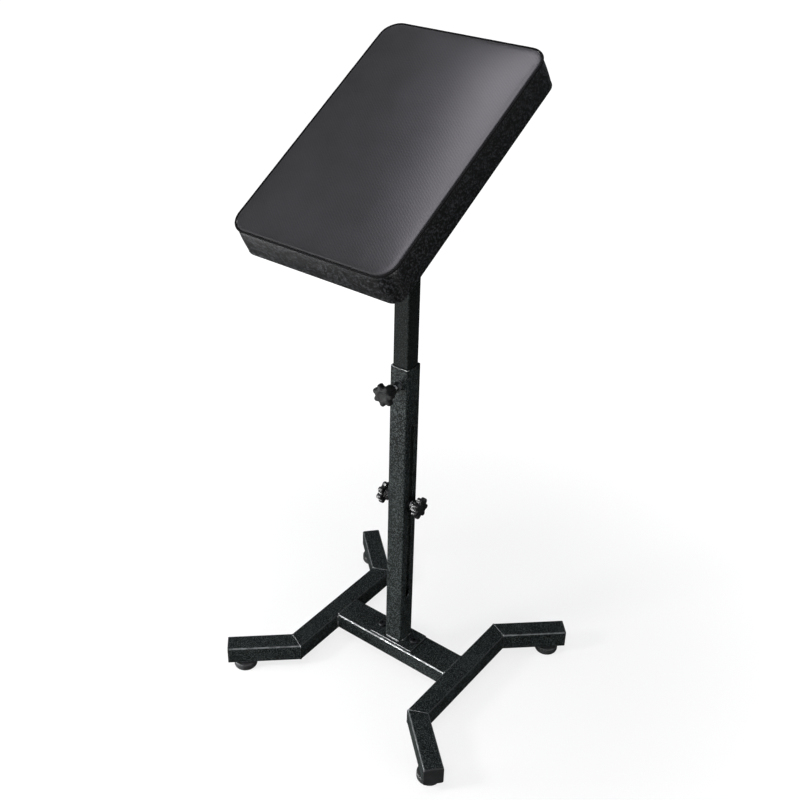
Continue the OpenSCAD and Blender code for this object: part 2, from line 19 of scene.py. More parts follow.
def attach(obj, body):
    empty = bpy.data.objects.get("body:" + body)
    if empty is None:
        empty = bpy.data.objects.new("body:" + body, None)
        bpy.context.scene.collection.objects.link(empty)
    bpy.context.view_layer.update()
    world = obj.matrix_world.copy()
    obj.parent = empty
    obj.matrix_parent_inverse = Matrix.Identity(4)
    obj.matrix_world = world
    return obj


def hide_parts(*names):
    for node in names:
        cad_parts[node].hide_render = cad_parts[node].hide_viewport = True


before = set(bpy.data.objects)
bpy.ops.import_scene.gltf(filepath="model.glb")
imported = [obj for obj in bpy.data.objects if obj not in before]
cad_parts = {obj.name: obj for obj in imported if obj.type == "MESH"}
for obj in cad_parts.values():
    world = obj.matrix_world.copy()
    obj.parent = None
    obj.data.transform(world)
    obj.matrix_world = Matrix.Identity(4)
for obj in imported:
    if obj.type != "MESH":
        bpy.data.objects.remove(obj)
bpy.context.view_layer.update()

LOG = logging.getLogger("arm_rest_stand")
MM = 0.001
TURN = 2 * math.pi
SIDES = {"left": -1, "right": 1}
ENDS = {"front": -1, "rear": 1}


# Shader maths


class Value:
    """A node's output socket in a Python expression, where each operator adds its Math node."""

    def __init__(self, bench: "Bench", socket: bpy.types.NodeSocket | None) -> None:
        """Keeps the bench that the socket's node stands on."""
        self.bench = bench
        self.socket = socket

    def math(self, operation: str, *others: "Value | float") -> "Value":
        """A Math node of this value and its other inputs."""
        return self.bench.add("ShaderNodeMath", {"operation": operation}, dict(enumerate([self, *others])))

    def _swapped(self, operation: str, other: float) -> "Value":
        """A Math node with the plain number as its first input."""
        return self.bench.add("ShaderNodeMath", {"operation": operation}, {0: other, 1: self})

    def __add__(self, other: "Value | float") -> "Value":
        """The sum."""
        return self.math("ADD", other)

    __radd__ = __add__

    def __sub__(self, other: "Value | float") -> "Value":
        """The difference."""
        return self.math("SUBTRACT", other)

    def __rsub__(self, other: float) -> "Value":
        """A number less this value."""
        return self._swapped("SUBTRACT", other)

    def __mul__(self, other: "Value | float") -> "Value":
        """The product."""
        return self.math("MULTIPLY", other)

    __rmul__ = __mul__

    def ramp(self, low: float, high: float) -> "Value":
        """A smooth step from 0 at low to 1 at high."""
        settings = {"interpolation_type": "SMOOTHSTEP"}
        return self.bench.add("ShaderNodeMapRange", settings, {"Value": self, "From Min": low, "From Max": high})


class Bench:
    """The node tree of one material or world, with one method that adds any node."""

    def __init__(self, owner: bpy.types.Material | bpy.types.World) -> None:
        """Clears the owner's node tree."""
        owner.use_nodes = True
        self.owner = owner
        self.tree = owner.node_tree
        self.tree.nodes.clear()

    def add(self, kind: str, settings: dict | None = None, sockets: dict | None = None, out: int | str = 0) -> Value:
        """Adds a node.

        Args:
            kind: The node's type.
            settings: Its properties, set before its sockets.
            sockets: Values or links by socket name or number.
            out: The output that is handed back.

        Returns:
            That output, if the node has any.
        """
        node = self.tree.nodes.new(kind)
        for key, value in (settings or {}).items():
            setattr(node, key, value)
        for key, value in (sockets or {}).items():
            if isinstance(value, Value):
                self.tree.links.new(value.socket, node.inputs[key])
            else:
                node.inputs[key].default_value = value
        return Value(self, node.outputs[out] if node.outputs else None)

    def place(self) -> Value:
        """The Object coordinates."""
        return self.add("ShaderNodeTexCoord", out="Object")

    def split(self, where: Value) -> tuple[Value, Value, Value]:
        """The x, y and z of coordinates."""
        outputs = self.add("ShaderNodeSeparateXYZ", None, {0: where}).socket.node.outputs
        return tuple(Value(self, socket) for socket in outputs)

    def mapped(self, where: Value, **sockets: tuple) -> Value:
        """Coordinates that are turned or scaled."""
        return self.add("ShaderNodeMapping", None, {"Vector": where, **sockets})

    def noise(self, where: Value, scale: float, detail: float = 2.0, roughness: float = 0.5) -> Value:
        """A noise about 0.5, from its grains a metre, its octaves and the weight of the finer ones."""
        return self.add("ShaderNodeTexNoise", None,
                        {"Vector": where, "Scale": scale, "Detail": detail, "Roughness": roughness})

    def blend(self, share: Value | float, low: Sequence[float] | Value, high: Sequence[float] | Value) -> Value:
        """A mix of two colours, the first where share is 0 and the second where it is 1."""
        first, second = (c if isinstance(c, Value) else (*c, 1.0) for c in (low, high))
        return self.add("ShaderNodeMix", {"data_type": "RGBA"}, {0: share, 6: first, 7: second}, out=2)

    def bump(self, height: Value, depth: float, strength: float = 1.0, under: Value | None = None) -> Value:
        """The normal of a height from 0 to 1, where 1 stands for depth in metres, over the normal under it."""
        sockets = {"Height": height, "Distance": depth, "Strength": strength}
        if under is not None:
            sockets["Normal"] = under
        return self.add("ShaderNodeBump", None, sockets)

    def edge(self, radius: float) -> tuple[Value, Value]:
        """A normal that is rounded within radius of an edge, and a value that rises from 0 towards the edge."""
        rounded = self.add("ShaderNodeBevel", {"samples": 6}, {"Radius": radius})
        true = self.add("ShaderNodeNewGeometry", out="True Normal")
        dot = self.add("ShaderNodeVectorMath", {"operation": "DOT_PRODUCT"}, {0: rounded, 1: true}, out="Value")
        return rounded, (1 - dot).ramp(0.03, 0.3)

    def surface(self, **sockets: "Value | float | tuple") -> bpy.types.Material:
        """Ends the tree in a Principled shader, whose sockets are named with underscores for spaces."""
        names = {key.replace("_", " "): value for key, value in sockets.items()}
        self.add("ShaderNodeOutputMaterial", None, {"Surface": self.add("ShaderNodeBsdfPrincipled", None, names)})
        return self.owner


# Finishes


@dataclass(frozen=True)
class PowderCoat:
    """Fine-textured satin black paint, lighter along the edges: partly rubbed wear, partly a painted highlight where
    the edges catch the light.
    """

    name: str = "powder_coat"
    shade: tuple = (0.0016, 0.0024, 0.0022)
    fleck: tuple = (0.054, 0.064, 0.063)
    rub_and_glint: tuple = (0.26, 0.27, 0.275)
    grit: float = 1300.0
    peel: float = 600.0
    gloss: float = 0.5
    edge: float = 0.0011
    level: float = 0.06
    bare: tuple = (0.72, 0.73, 0.74)
    bare_rough: float = 0.28
    bare_rim: tuple | None = None
    front_glint: bool = False

    def material(self) -> bpy.types.Material:
        """The paint: grit and orange peel in colour, roughness and bump, and lighter edges that are partly rubbed
        wear and partly a painted highlight.

        With bare_rim, a height and a place along Y, the sawn metal shows above the one and in front of the other.
        With front_glint, only the edges that face the front, towards the light, are made much lighter: a painted
        glint.

        Returns:
            The material.
        """
        b = Bench(bpy.data.materials.new(self.name))
        where = b.place()
        grit = b.noise(where, self.grit, 3.0, 0.65)
        peel = b.noise(where, self.peel, 2.0, 0.6)
        patch = b.noise(where, 16.0, 2.0, 0.5)
        rounded, edge = b.edge(self.edge)
        fleck = grit.ramp(0.5, 0.66) * 0.2 + peel.ramp(0.5, 0.6) * 0.7 + patch.ramp(0.4, 0.75) * 0.1
        colour = b.blend(fleck, self.shade, self.fleck)
        _, ahead, lean = b.split(b.add("ShaderNodeNewGeometry", out="True Normal"))
        lean = lean.math("ABSOLUTE")
        # Painted highlight: the rounded edges of level tubes, which face up and catch the light, are picked out for
        # lightening.
        corner = lean.ramp(0.2, 0.5) * (1 - lean.ramp(0.86, 0.97))
        worn = b.noise(where, 90.0, 3.0, 0.6).ramp(0.38, 0.62)
        rub_and_glint = (edge * 0.4).math("MAXIMUM", corner) * (0.45 + 0.55 * worn)
        # Painted glint: where asked, only edges facing the front keep most of the lightening.
        if self.front_glint:
            rub_and_glint = rub_and_glint * (0.1 + 0.9 * (1 - ahead).ramp(1.3, 1.6))
        # The edges are lightened in colour: partly rubbed wear, partly a painted highlight.
        colour = b.blend(rub_and_glint * 0.5, colour, self.rub_and_glint)
        rough = self.gloss + 0.12 * grit + 0.1 * (peel - 0.5) - 0.2 * rub_and_glint
        metal: Value | float = rub_and_glint * 0.65
        if self.bare_rim is not None:
            low, near = self.bare_rim
            _, depth, height = b.split(where)
            bare = height.ramp(low, low + 0.0002) * (1 - depth.ramp(near - 0.002, near))
            colour = b.blend(bare, colour, self.bare)
            rough = rough * (1 - bare) + bare * self.bare_rough
            metal = metal.math("MAXIMUM", bare)
        normal = b.bump(peel, 0.0009, 0.8, rounded)
        normal = b.bump(grit, 0.00014, 0.7, normal)
        return b.surface(Base_Color=colour, Roughness=rough, Metallic=metal, Normal=normal,
                         Specular_IOR_Level=self.level)


@dataclass(frozen=True)
class Moulding:
    """Black moulded plastic or rubber, with a faint moulded texture."""

    name: str
    shade: tuple = (0.009, 0.0095, 0.01)
    worn: tuple = (0.03, 0.031, 0.032)
    rough: float = 0.3
    spread: float = 0.12
    texture: float = 1500.0
    depth: float = 0.00003
    gloss: float = 0.5

    def material(self) -> bpy.types.Material:
        """The plastic: cloudy roughness, dust in the grain and fine bump."""
        b = Bench(bpy.data.materials.new(self.name))
        where = b.place()
        cloud = b.noise(where, 70.0, 3.0, 0.6)
        fine = b.noise(where, self.texture, 2.0, 0.6)
        colour = b.blend(cloud.ramp(0.35, 0.8) * 0.5 + fine.ramp(0.5, 0.75) * 0.3, self.shade, self.worn)
        rough = self.rough + self.spread * (cloud - 0.5) + 0.08 * fine
        normal = b.bump(fine, self.depth, 0.5)
        return b.surface(Base_Color=colour, Roughness=rough, Normal=normal, Specular_IOR_Level=self.gloss)


@dataclass(frozen=True)
class BareMetal:
    """Plated or blackened steel, with turning marks."""

    name: str
    shade: tuple = (0.7, 0.71, 0.72)
    dull: tuple = (0.45, 0.46, 0.47)
    rough: float = 0.22

    def material(self) -> bpy.types.Material:
        """The metal: cloudy plating, and fine stretched scratches in the roughness and bump."""
        b = Bench(bpy.data.materials.new(self.name))
        where = b.place()
        cloud = b.noise(where, 160.0, 3.0, 0.6)
        lines = b.noise(b.mapped(where, Scale=(1, 1, 9)), 900.0, 2.0, 0.6)
        colour = b.blend(cloud.ramp(0.35, 0.75), self.shade, self.dull)
        rough = self.rough + 0.16 * lines.ramp(0.35, 0.8) + 0.08 * (cloud - 0.5)
        return b.surface(Base_Color=colour, Roughness=rough, Metallic=1.0, Normal=b.bump(lines, 0.00002, 0.4))


@dataclass(frozen=True)
class Vinyl:
    """Charcoal upholstery vinyl, embossed with slanting rows of short pebbles like a linen twill."""

    name: str = "embossed_vinyl"
    shade: tuple = (0.0065, 0.0060, 0.0070)
    high: tuple = (0.0165, 0.0155, 0.0175)
    tilt: float = math.radians(31)
    slant: float = math.radians(38)
    row: float = 0.0031
    pebble: float = 0.0068
    rough: float = 0.34
    emboss: float = 0.00008
    gloss: float = 0.5
    pit: tuple = (0.0012, 0.0012, 0.0013)
    nap: tuple = (0.034, 0.035, 0.038)
    brim: float = 0.7993
    lip: float = 0.003

    def material(self) -> bpy.types.Material:
        """The vinyl: slanting pebbles and a finer grain in the bump, lighter tops of the rows with darker grooves as
        a painted shade of the emboss, and a soft uneven sheen.

        The height is 0.5 + 0.22 R + 0.16 R M + 0.18 (0.5 - g), where R is the sine across the rows, M the sine
        along the pebbles and g the grain. Below the brim, the height of the seam square to the pad, it has a
        speckled nap instead, and the lip beside the seam is matt.

        Returns:
            The material.
        """
        b = Bench(bpy.data.materials.new(self.name))
        where = b.mapped(b.place(), Rotation=(-self.tilt, 0, 0))
        drift = b.noise(where, 24.0, 2.0, 0.5)
        wander = b.noise(where, 210.0, 2.0, 0.5) * 2.6
        along, across, depth = b.split(b.mapped(where, Rotation=(0, 0, self.slant)))
        across = across + depth * 0.8
        rows = (across * (TURN / self.row) + wander).math("SINE")
        marks = (along * (TURN / self.pebble) + across * (TURN / self.row / 2) + wander).math("SINE")
        grain = b.add("ShaderNodeTexVoronoi", {"feature": "SMOOTH_F1"}, {"Vector": where, "Scale": 900.0})
        height = 0.5 + 0.22 * rows + 0.16 * rows * marks + 0.18 * (0.5 - grain)
        crease = b.noise(where, 60.0, 3.0, 0.6)
        # Painted shade of the emboss: the rows' tops are lighter and their grooves darker; the drift is a random
        # tone.
        tone = 0.25 * rows + 0.35 + drift.ramp(0.3, 0.75) * 0.3
        colour = b.blend(tone, self.shade, self.high)
        speck = b.blend(b.noise(where, 430.0, 2.0, 0.6).ramp(0.51, 0.61), self.pit, self.nap)
        start = self.brim - self.lip
        colour = b.blend(depth.ramp(start, self.brim), speck, colour)
        lip = depth.ramp(start, self.brim - 0.001) * (1 - depth.ramp(self.brim, self.brim + 0.0009))
        rough = self.rough - 0.012 * rows + 0.05 * (drift - 0.5) + 0.45 * lip
        normal = b.bump(crease, 0.0004, 0.2)
        normal = b.bump(height, self.emboss, 0.8, normal)
        return b.surface(Base_Color=colour, Roughness=rough, Normal=normal, Specular_IOR_Level=self.gloss)


@dataclass(frozen=True)
class Fibres:
    """Black non-woven cloth, thread or washer fibre: short crossing strands."""

    name: str
    shade: tuple = (0.006, 0.006, 0.0065)
    strand: tuple = (0.03, 0.03, 0.032)
    scale: float = 700.0
    rough: float = 0.9
    level: float = 0.12

    def material(self) -> bpy.types.Material:
        """The fibres: two stretched noises, crossed, in colour and bump."""
        b = Bench(bpy.data.materials.new(self.name))
        where = b.place()
        along, across = (b.noise(b.mapped(where, Scale=scale), self.scale) for scale in ((1, 6, 1), (6, 1, 2)))
        strands = along.ramp(0.45, 0.7).math("MAXIMUM", across.ramp(0.45, 0.7))
        colour = b.blend(strands, self.shade, self.strand)
        return b.surface(Base_Color=colour, Roughness=self.rough - 0.1 * strands,
                         Normal=b.bump(strands, 0.00008, 0.6), Specular_IOR_Level=self.level)


@dataclass(frozen=True)
class Plywood:
    """Bare plywood with its grain along the pad."""

    name: str = "board_plywood"
    dark: tuple = (0.42, 0.27, 0.14)
    light: tuple = (0.6, 0.43, 0.25)
    pore: tuple = (0.2, 0.12, 0.06)

    def material(self) -> bpy.types.Material:
        """The wood: stretched noise for the grain, and darker pores."""
        b = Bench(bpy.data.materials.new(self.name))
        where = b.mapped(b.place(), Scale=(14, 1, 14))
        grain = b.noise(where, 30.0, 4.0, 0.65)
        pores = b.noise(where, 160.0, 2.0, 0.5)
        colour = b.blend(grain.ramp(0.3, 0.7), self.dark, self.light)
        colour = b.blend(pores.ramp(0.6, 0.75) * 0.5, colour, self.pore)
        return b.surface(Base_Color=colour, Roughness=0.62 + 0.15 * pores, Normal=b.bump(grain, 0.0002, 0.4))


class Finish(Enum):
    """The finishes in use."""

    PAINT = PowderCoat()
    # Painted shade: a darker copy of the paint for the inner post, which stands in the pad's shadow.
    SLIDE_PAINT = PowderCoat("powder_coat_slide_shaded", fleck=(0.024, 0.029, 0.028), gloss=0.58)
    LEG_PAINT = PowderCoat("powder_coat_legs", rub_and_glint=(0.09, 0.094, 0.095))
    # Painted glint: very light edges that face the front, for the beam, the post's plate and the weld beads.
    BEAM_PAINT = PowderCoat("powder_coat_beam_glint", rub_and_glint=(0.85, 0.87, 0.88), front_glint=True)
    RIM_PAINT = PowderCoat("powder_coat_sawn_rim", bare_rim=(0.5657, -0.0105))
    KNOB = Moulding("knob_plastic", shade=(0.006, 0.0062, 0.0066), worn=(0.018, 0.0185, 0.019), rough=0.24,
                    spread=0.08, texture=900.0, depth=0.00002)
    MATT_KNOB = Moulding("matt_knob_plastic", shade=(0.009, 0.0093, 0.0098), worn=(0.022, 0.0225, 0.023), rough=0.5,
                         spread=0.08, texture=900.0, gloss=0.08)
    PLUG = Moulding("plug_plastic", shade=(0.012, 0.0125, 0.013), rough=0.42)
    FOOT = Moulding("foot_plastic", shade=(0.012, 0.0125, 0.013), worn=(0.04, 0.042, 0.043), rough=0.5, texture=800.0,
                    depth=0.00008)
    PLATED = BareMetal("plated_steel")
    BLACKED = BareMetal("blacked_steel", shade=(0.03, 0.031, 0.033), dull=(0.012, 0.0125, 0.013), rough=0.45)
    VINYL = Vinyl()
    # Painted shade: the welt is made near black so that it draws the shadow line along the seam.
    WELT = Vinyl("welt_vinyl_shaded", shade=(0.0025, 0.0024, 0.0026), high=(0.006, 0.0058, 0.0062), rough=0.6,
                 emboss=0.00006, gloss=0.15)
    CLOTH = Fibres("underside_weave")
    STITCH = Fibres("stitch_thread", shade=(0.004, 0.004, 0.0042), strand=(0.03, 0.03, 0.032), scale=1800.0,
                    rough=0.7)
    WASHER = Fibres("pressed_fibre", shade=(0.06, 0.05, 0.04), strand=(0.16, 0.14, 0.11), scale=1200.0)
    BOARD = Plywood()

    @property
    def made(self) -> bpy.types.Material:
        """The material, made when it is first asked for."""
        found = bpy.data.materials.get(self.value.name)
        return found if found is not None else self.value.material()


# Surfaces on a grid


class Shell:
    """A mesh gathered from grids of points, kept as whole arrays."""

    def __init__(self) -> None:
        """Starts empty."""
        self.points: list[np.ndarray] = []
        self.faces: list[list] = []
        self.count = 0

    def _keep(self, points: np.ndarray) -> int:
        """Keeps points and says the number of their first."""
        first = self.count
        self.points.append(np.asarray(points, float).reshape(-1, 3))
        self.count += len(self.points[-1])
        return first

    def grid(self, points: np.ndarray, round_u: bool = False, round_v: bool = True,
             ends: tuple[bool, bool] = (True, True)) -> "Shell":
        """Adds the surface of a grid of points.

        A face joins the points (i, j), (i, j + 1), (i + 1, j + 1) and (i + 1, j), with i and j taken round
        where the grid is closed. An end that is capped gets a fan round the mean of its row.

        Args:
            points: Places, of shape (rows, columns, 3).
            round_u: The last row joins the first.
            round_v: The last column joins the first.
            ends: Whether the first and the last row are capped.

        Returns:
            The shell.
        """
        rows, columns = points.shape[:2]
        first = self._keep(points)
        index = first + np.arange(rows * columns).reshape(rows, columns)
        if round_v:
            index = np.concatenate([index, index[:, :1]], axis=1)
        if round_u:
            index = np.concatenate([index, index[:1]], axis=0)
        quads = np.stack([index[:-1, :-1], index[:-1, 1:], index[1:, 1:], index[1:, :-1]], axis=-1)
        self.faces.extend(quads.reshape(-1, 4).tolist())
        if round_v and not round_u:
            for wanted, row, turn in ((ends[0], 0, 1), (ends[1], -1, -1)):
                if wanted:
                    centre = self._keep(points[row].mean(axis=0))
                    rim = index[row]
                    fan = np.stack([np.full(columns, centre), rim[1:], rim[:-1]], axis=-1)[:, ::turn]
                    self.faces.extend(fan.tolist())
        return self

    def mesh(self, name: str) -> bpy.types.Mesh:
        """The bare mesh of what was added."""
        mesh = bpy.data.meshes.new(name)
        mesh.from_pydata(np.concatenate(self.points).tolist(), [], self.faces)
        return mesh

    def build(self, name: str, finish: Finish, smooth: float = 40.0) -> bpy.types.Object:
        """Makes the mesh object, closed and facing outwards.

        Args:
            name: The piece's name.
            finish: What it is dressed with.
            smooth: Edges sharper than this many degrees stay sharp.

        Returns:
            The object, at the origin.
        """
        mesh = self.mesh(name)
        work = bmesh.new()
        work.from_mesh(mesh)
        bmesh.ops.remove_doubles(work, verts=work.verts, dist=1e-6)
        bmesh.ops.dissolve_degenerate(work, edges=work.edges, dist=1e-7)
        bmesh.ops.recalc_face_normals(work, faces=work.faces)
        work.to_mesh(mesh)
        work.free()
        mesh.polygons.foreach_set("use_smooth", np.ones(len(mesh.polygons), bool))
        mesh.set_sharp_from_angle(angle=math.radians(smooth))
        mesh.materials.append(finish.made)
        return linked(name, mesh)


@dataclass(frozen=True)
class Frame:
    """A place with its own axes, into which a piece's points are carried."""

    matrix: Matrix = field(default_factory=lambda: Matrix.Identity(4))

    def carry(self, points: np.ndarray) -> np.ndarray:
        """Places in the stand's axes: the matrix times each point, whose x, y and z are on the last axis."""
        full = np.array(self.matrix)
        return np.asarray(points, float) @ full[:3, :3].T + full[:3, 3]

    def then(self, *steps: Matrix) -> "Frame":
        """This frame with further steps inside it."""
        matrix = self.matrix.copy()
        for step in steps:
            matrix = matrix @ step
        return Frame(matrix)


def moved(x: float, y: float, z: float) -> Matrix:
    """A shift."""
    return Matrix.Translation((x, y, z))


def turned(degrees: float, axis: str) -> Matrix:
    """A turn about an axis."""
    return Matrix.Rotation(math.radians(degrees), 4, axis)


def linked(name: str, data: bpy.types.ID) -> bpy.types.Object:
    """An object of the data, put in the scene."""
    made = bpy.data.objects.new(name, data)
    bpy.context.scene.collection.objects.link(made)
    return made


def angles(count: int) -> np.ndarray:
    """Angles that share out a full turn."""
    return np.linspace(0, TURN, count, endpoint=False)


def quarter(count: int) -> np.ndarray:
    """Angles from 0 to 90 degrees."""
    return np.radians(np.linspace(0, 90, count))


def wound(radius: np.ndarray, z: np.ndarray) -> np.ndarray:
    """Points round the Z axis, one row for each height, at the radii in that row."""
    angle = angles(radius.shape[1])
    return np.dstack([radius * np.cos(angle), radius * np.sin(angle), np.broadcast_to(z[:, None], radius.shape)])


def unit(vectors: np.ndarray) -> np.ndarray:
    """Vectors of length 1 in the same directions."""
    return vectors / np.linalg.norm(vectors, axis=-1, keepdims=True)


def heading(loop: np.ndarray) -> np.ndarray:
    """The way on at each point of a loop."""
    return np.roll(loop, -1, 0) - np.roll(loop, 1, 0)


def lengths(track: np.ndarray) -> np.ndarray:
    """How far each point of a track lies along it."""
    return np.concatenate([[0], np.cumsum(np.linalg.norm(np.diff(track, axis=0), axis=1))])


def looped(loop: np.ndarray) -> np.ndarray:
    """A loop's rows with the first once more at the end."""
    return np.concatenate([loop, loop[:1]])


def on_track(places: np.ndarray, travel: np.ndarray, rows: np.ndarray) -> np.ndarray:
    """Each column of a track's rows, which lie at travel along it, read at places."""
    return np.stack([np.interp(places, travel, column) for column in rows.T], axis=-1)


def revolve(profile: np.ndarray, around: int = 64, waves: np.ndarray | None = None) -> np.ndarray:
    """A profile carried round the Z axis.

    P(i, j) = ((r_i - c_i w_j) cos a_j, (r_i - c_i w_j) sin a_j, z_i), where w is how deep the outline is cut at
    each angle a, and c is how much of that cut the profile's point i takes.

    Args:
        profile: Rows of r, z and optionally c.
        around: Points round the axis.
        waves: The cut at each of those points.

    Returns:
        Points of shape (profile, around, 3).
    """
    cut = np.zeros(around) if waves is None else waves
    share = profile[:, 2:3] if profile.shape[1] > 2 else np.zeros((len(profile), 1))
    return wound(profile[:, :1] - share * cut[None], profile[:, 1])


def sweep(path: np.ndarray, radius: np.ndarray | float, around: int = 10, closed: bool = False,
          up: Sequence[float] = (0, 0, 1)) -> np.ndarray:
    """A round section carried along a path.

    P(i, j) = path_i + radius_i (cos t_j side_i + sin t_j lift_i), where side is square to the path and to up, and
    lift is square to both.

    Args:
        path: Points of the path.
        radius: One radius, or one for each point.
        around: Points round the section.
        closed: The path is a loop.
        up: The direction that lift follows.

    Returns:
        Points of shape (path, around, 3).
    """
    ahead = unit(heading(path) if closed else np.gradient(path, axis=0))
    side = unit(np.cross(ahead, np.asarray(up, float)))
    lift = np.cross(side, ahead)
    turn = angles(around)[None, :, None]
    reach = np.broadcast_to(np.asarray(radius, float), (len(path),))[:, None, None]
    return path[:, None] + reach * (np.cos(turn) * side[:, None] + np.sin(turn) * lift[:, None])


def rounded_ring(half_x: float, half_y: float, radius: float, steps: int = 8,
                 straight: tuple[int, int] = (1, 1)) -> np.ndarray:
    """A rectangle with round corners, as a level loop of points.

    Each corner is a quarter circle about (half_x - radius, half_y - radius), and each side between two corners
    is cut into equal parts.

    Args:
        half_x: Half its width.
        half_y: Half its length.
        radius: Radius of the corners.
        steps: Parts in a corner.
        straight: Parts in a side along Y and in one along X.

    Returns:
        Points of shape (loop, 2), counterclockwise from the lower right corner's start.
    """
    cx, cy = half_x - radius, half_y - radius
    corners = []
    for sx, sy, start in ((1, -1, -90), (1, 1, 0), (-1, 1, 90), (-1, -1, 180)):
        angle = np.radians(start + np.linspace(0, 90, steps + 1))
        corners.append(np.stack([sx * cx + radius * np.cos(angle), sy * cy + radius * np.sin(angle)], axis=-1))
    loop = []
    for number, arc in enumerate(corners):
        parts = straight[number % 2]
        share = np.arange(1, parts)[:, None] / parts
        loop += [arc, arc[-1] + share * (corners[(number + 1) % 4][0] - arc[-1])]
    return np.concatenate(loop)


def slab(half_x: float, half_y: float, corner: float, low: float, high: float, edge: float,
         crown: float = 0.0) -> np.ndarray:
    """A plate with rounded edges.

    Rings of the outline are set in by edge (1 - cos a) and raised by edge sin a round each rim, then drawn in
    towards the middle of the top, which rises by crown.

    Args:
        half_x: Half its width.
        half_y: Half its length.
        corner: Radius of its corners in plan.
        low: Height of its underside.
        high: Height of its top.
        edge: Radius of its edges.
        crown: Rise of the middle of the top.

    Returns:
        Points of shape (rings, loop, 3).
    """
    bend = quarter(5)
    inset = np.concatenate([edge * (1 - np.sin(bend)), edge * (1 - np.cos(bend))])
    height = np.concatenate([low + edge * (1 - np.cos(bend)), high - edge * (1 - np.sin(bend))])
    least = min(half_x, half_y)
    into = np.array([0.2, 0.45, 0.7, 0.9]) * least
    inset = np.concatenate([inset, into])
    height = np.concatenate([height, high + crown * (1 - (1 - into / least) ** 2)])
    plan = np.stack([rounded_ring(half_x - d, half_y - d, max(corner - d, 0.05 * MM), 6) for d in inset])
    return np.dstack([plan, np.broadcast_to(height[:, None], plan.shape[:2])])


def bead(path: np.ndarray, size: float, seed: int, ripple: float = 2.2 * MM) -> np.ndarray:
    """A weld bead: overlapping ripples along a path.

    radius = size (0.82 + 0.18 |cos(pi s / ripple)|) + a slow random wander, and both ends taper to a point.

    Args:
        path: The path's ends or corners.
        size: Radius of the bead.
        seed: Seed of the wander.
        ripple: Length of a ripple.

    Returns:
        Points of shape (path, around, 3).
    """
    travel = lengths(path)
    full = travel[-1]
    s = np.linspace(0, full, max(int(full / ripple * 6), 12))
    draw = np.random.default_rng(seed)
    knots = np.arange(0, full + 4 * ripple, 1.6 * ripple)
    wander = np.interp(s, knots, draw.uniform(-1, 1, len(knots)))
    radius = size * (0.82 + 0.18 * np.abs(np.cos(math.pi * s / ripple)) + 0.1 * wander)
    taper = np.clip(np.minimum(s, full - s) / (1.2 * size), 0.15, 1)
    upright = abs(path[-1, 2] - path[0, 2]) > 0.5 * full
    return sweep(on_track(s, travel, path), radius * np.sqrt(taper), up=(0.6, 0.8, 0) if upright else (0, 0, 1))


def dress(finish: Finish, *nodes: str) -> None:
    """Gives CAD nodes a finish in their objects' own material slots."""
    for name in nodes:
        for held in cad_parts[name].material_slots:
            held.link = "OBJECT"
            held.material = finish.made
        LOG.info("dressed %s in %s", name, finish.value.name)


def keep(piece: bpy.types.Object, body: str, slot: str, *stands_for: str) -> None:
    """Fixes a piece to the CAD body that carries it, and hides the CAD nodes that it stands for."""
    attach(piece, body)
    if stands_for:
        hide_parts(*stands_for)
    LOG.info("%s rides on %s", piece.name, body)


# The stand


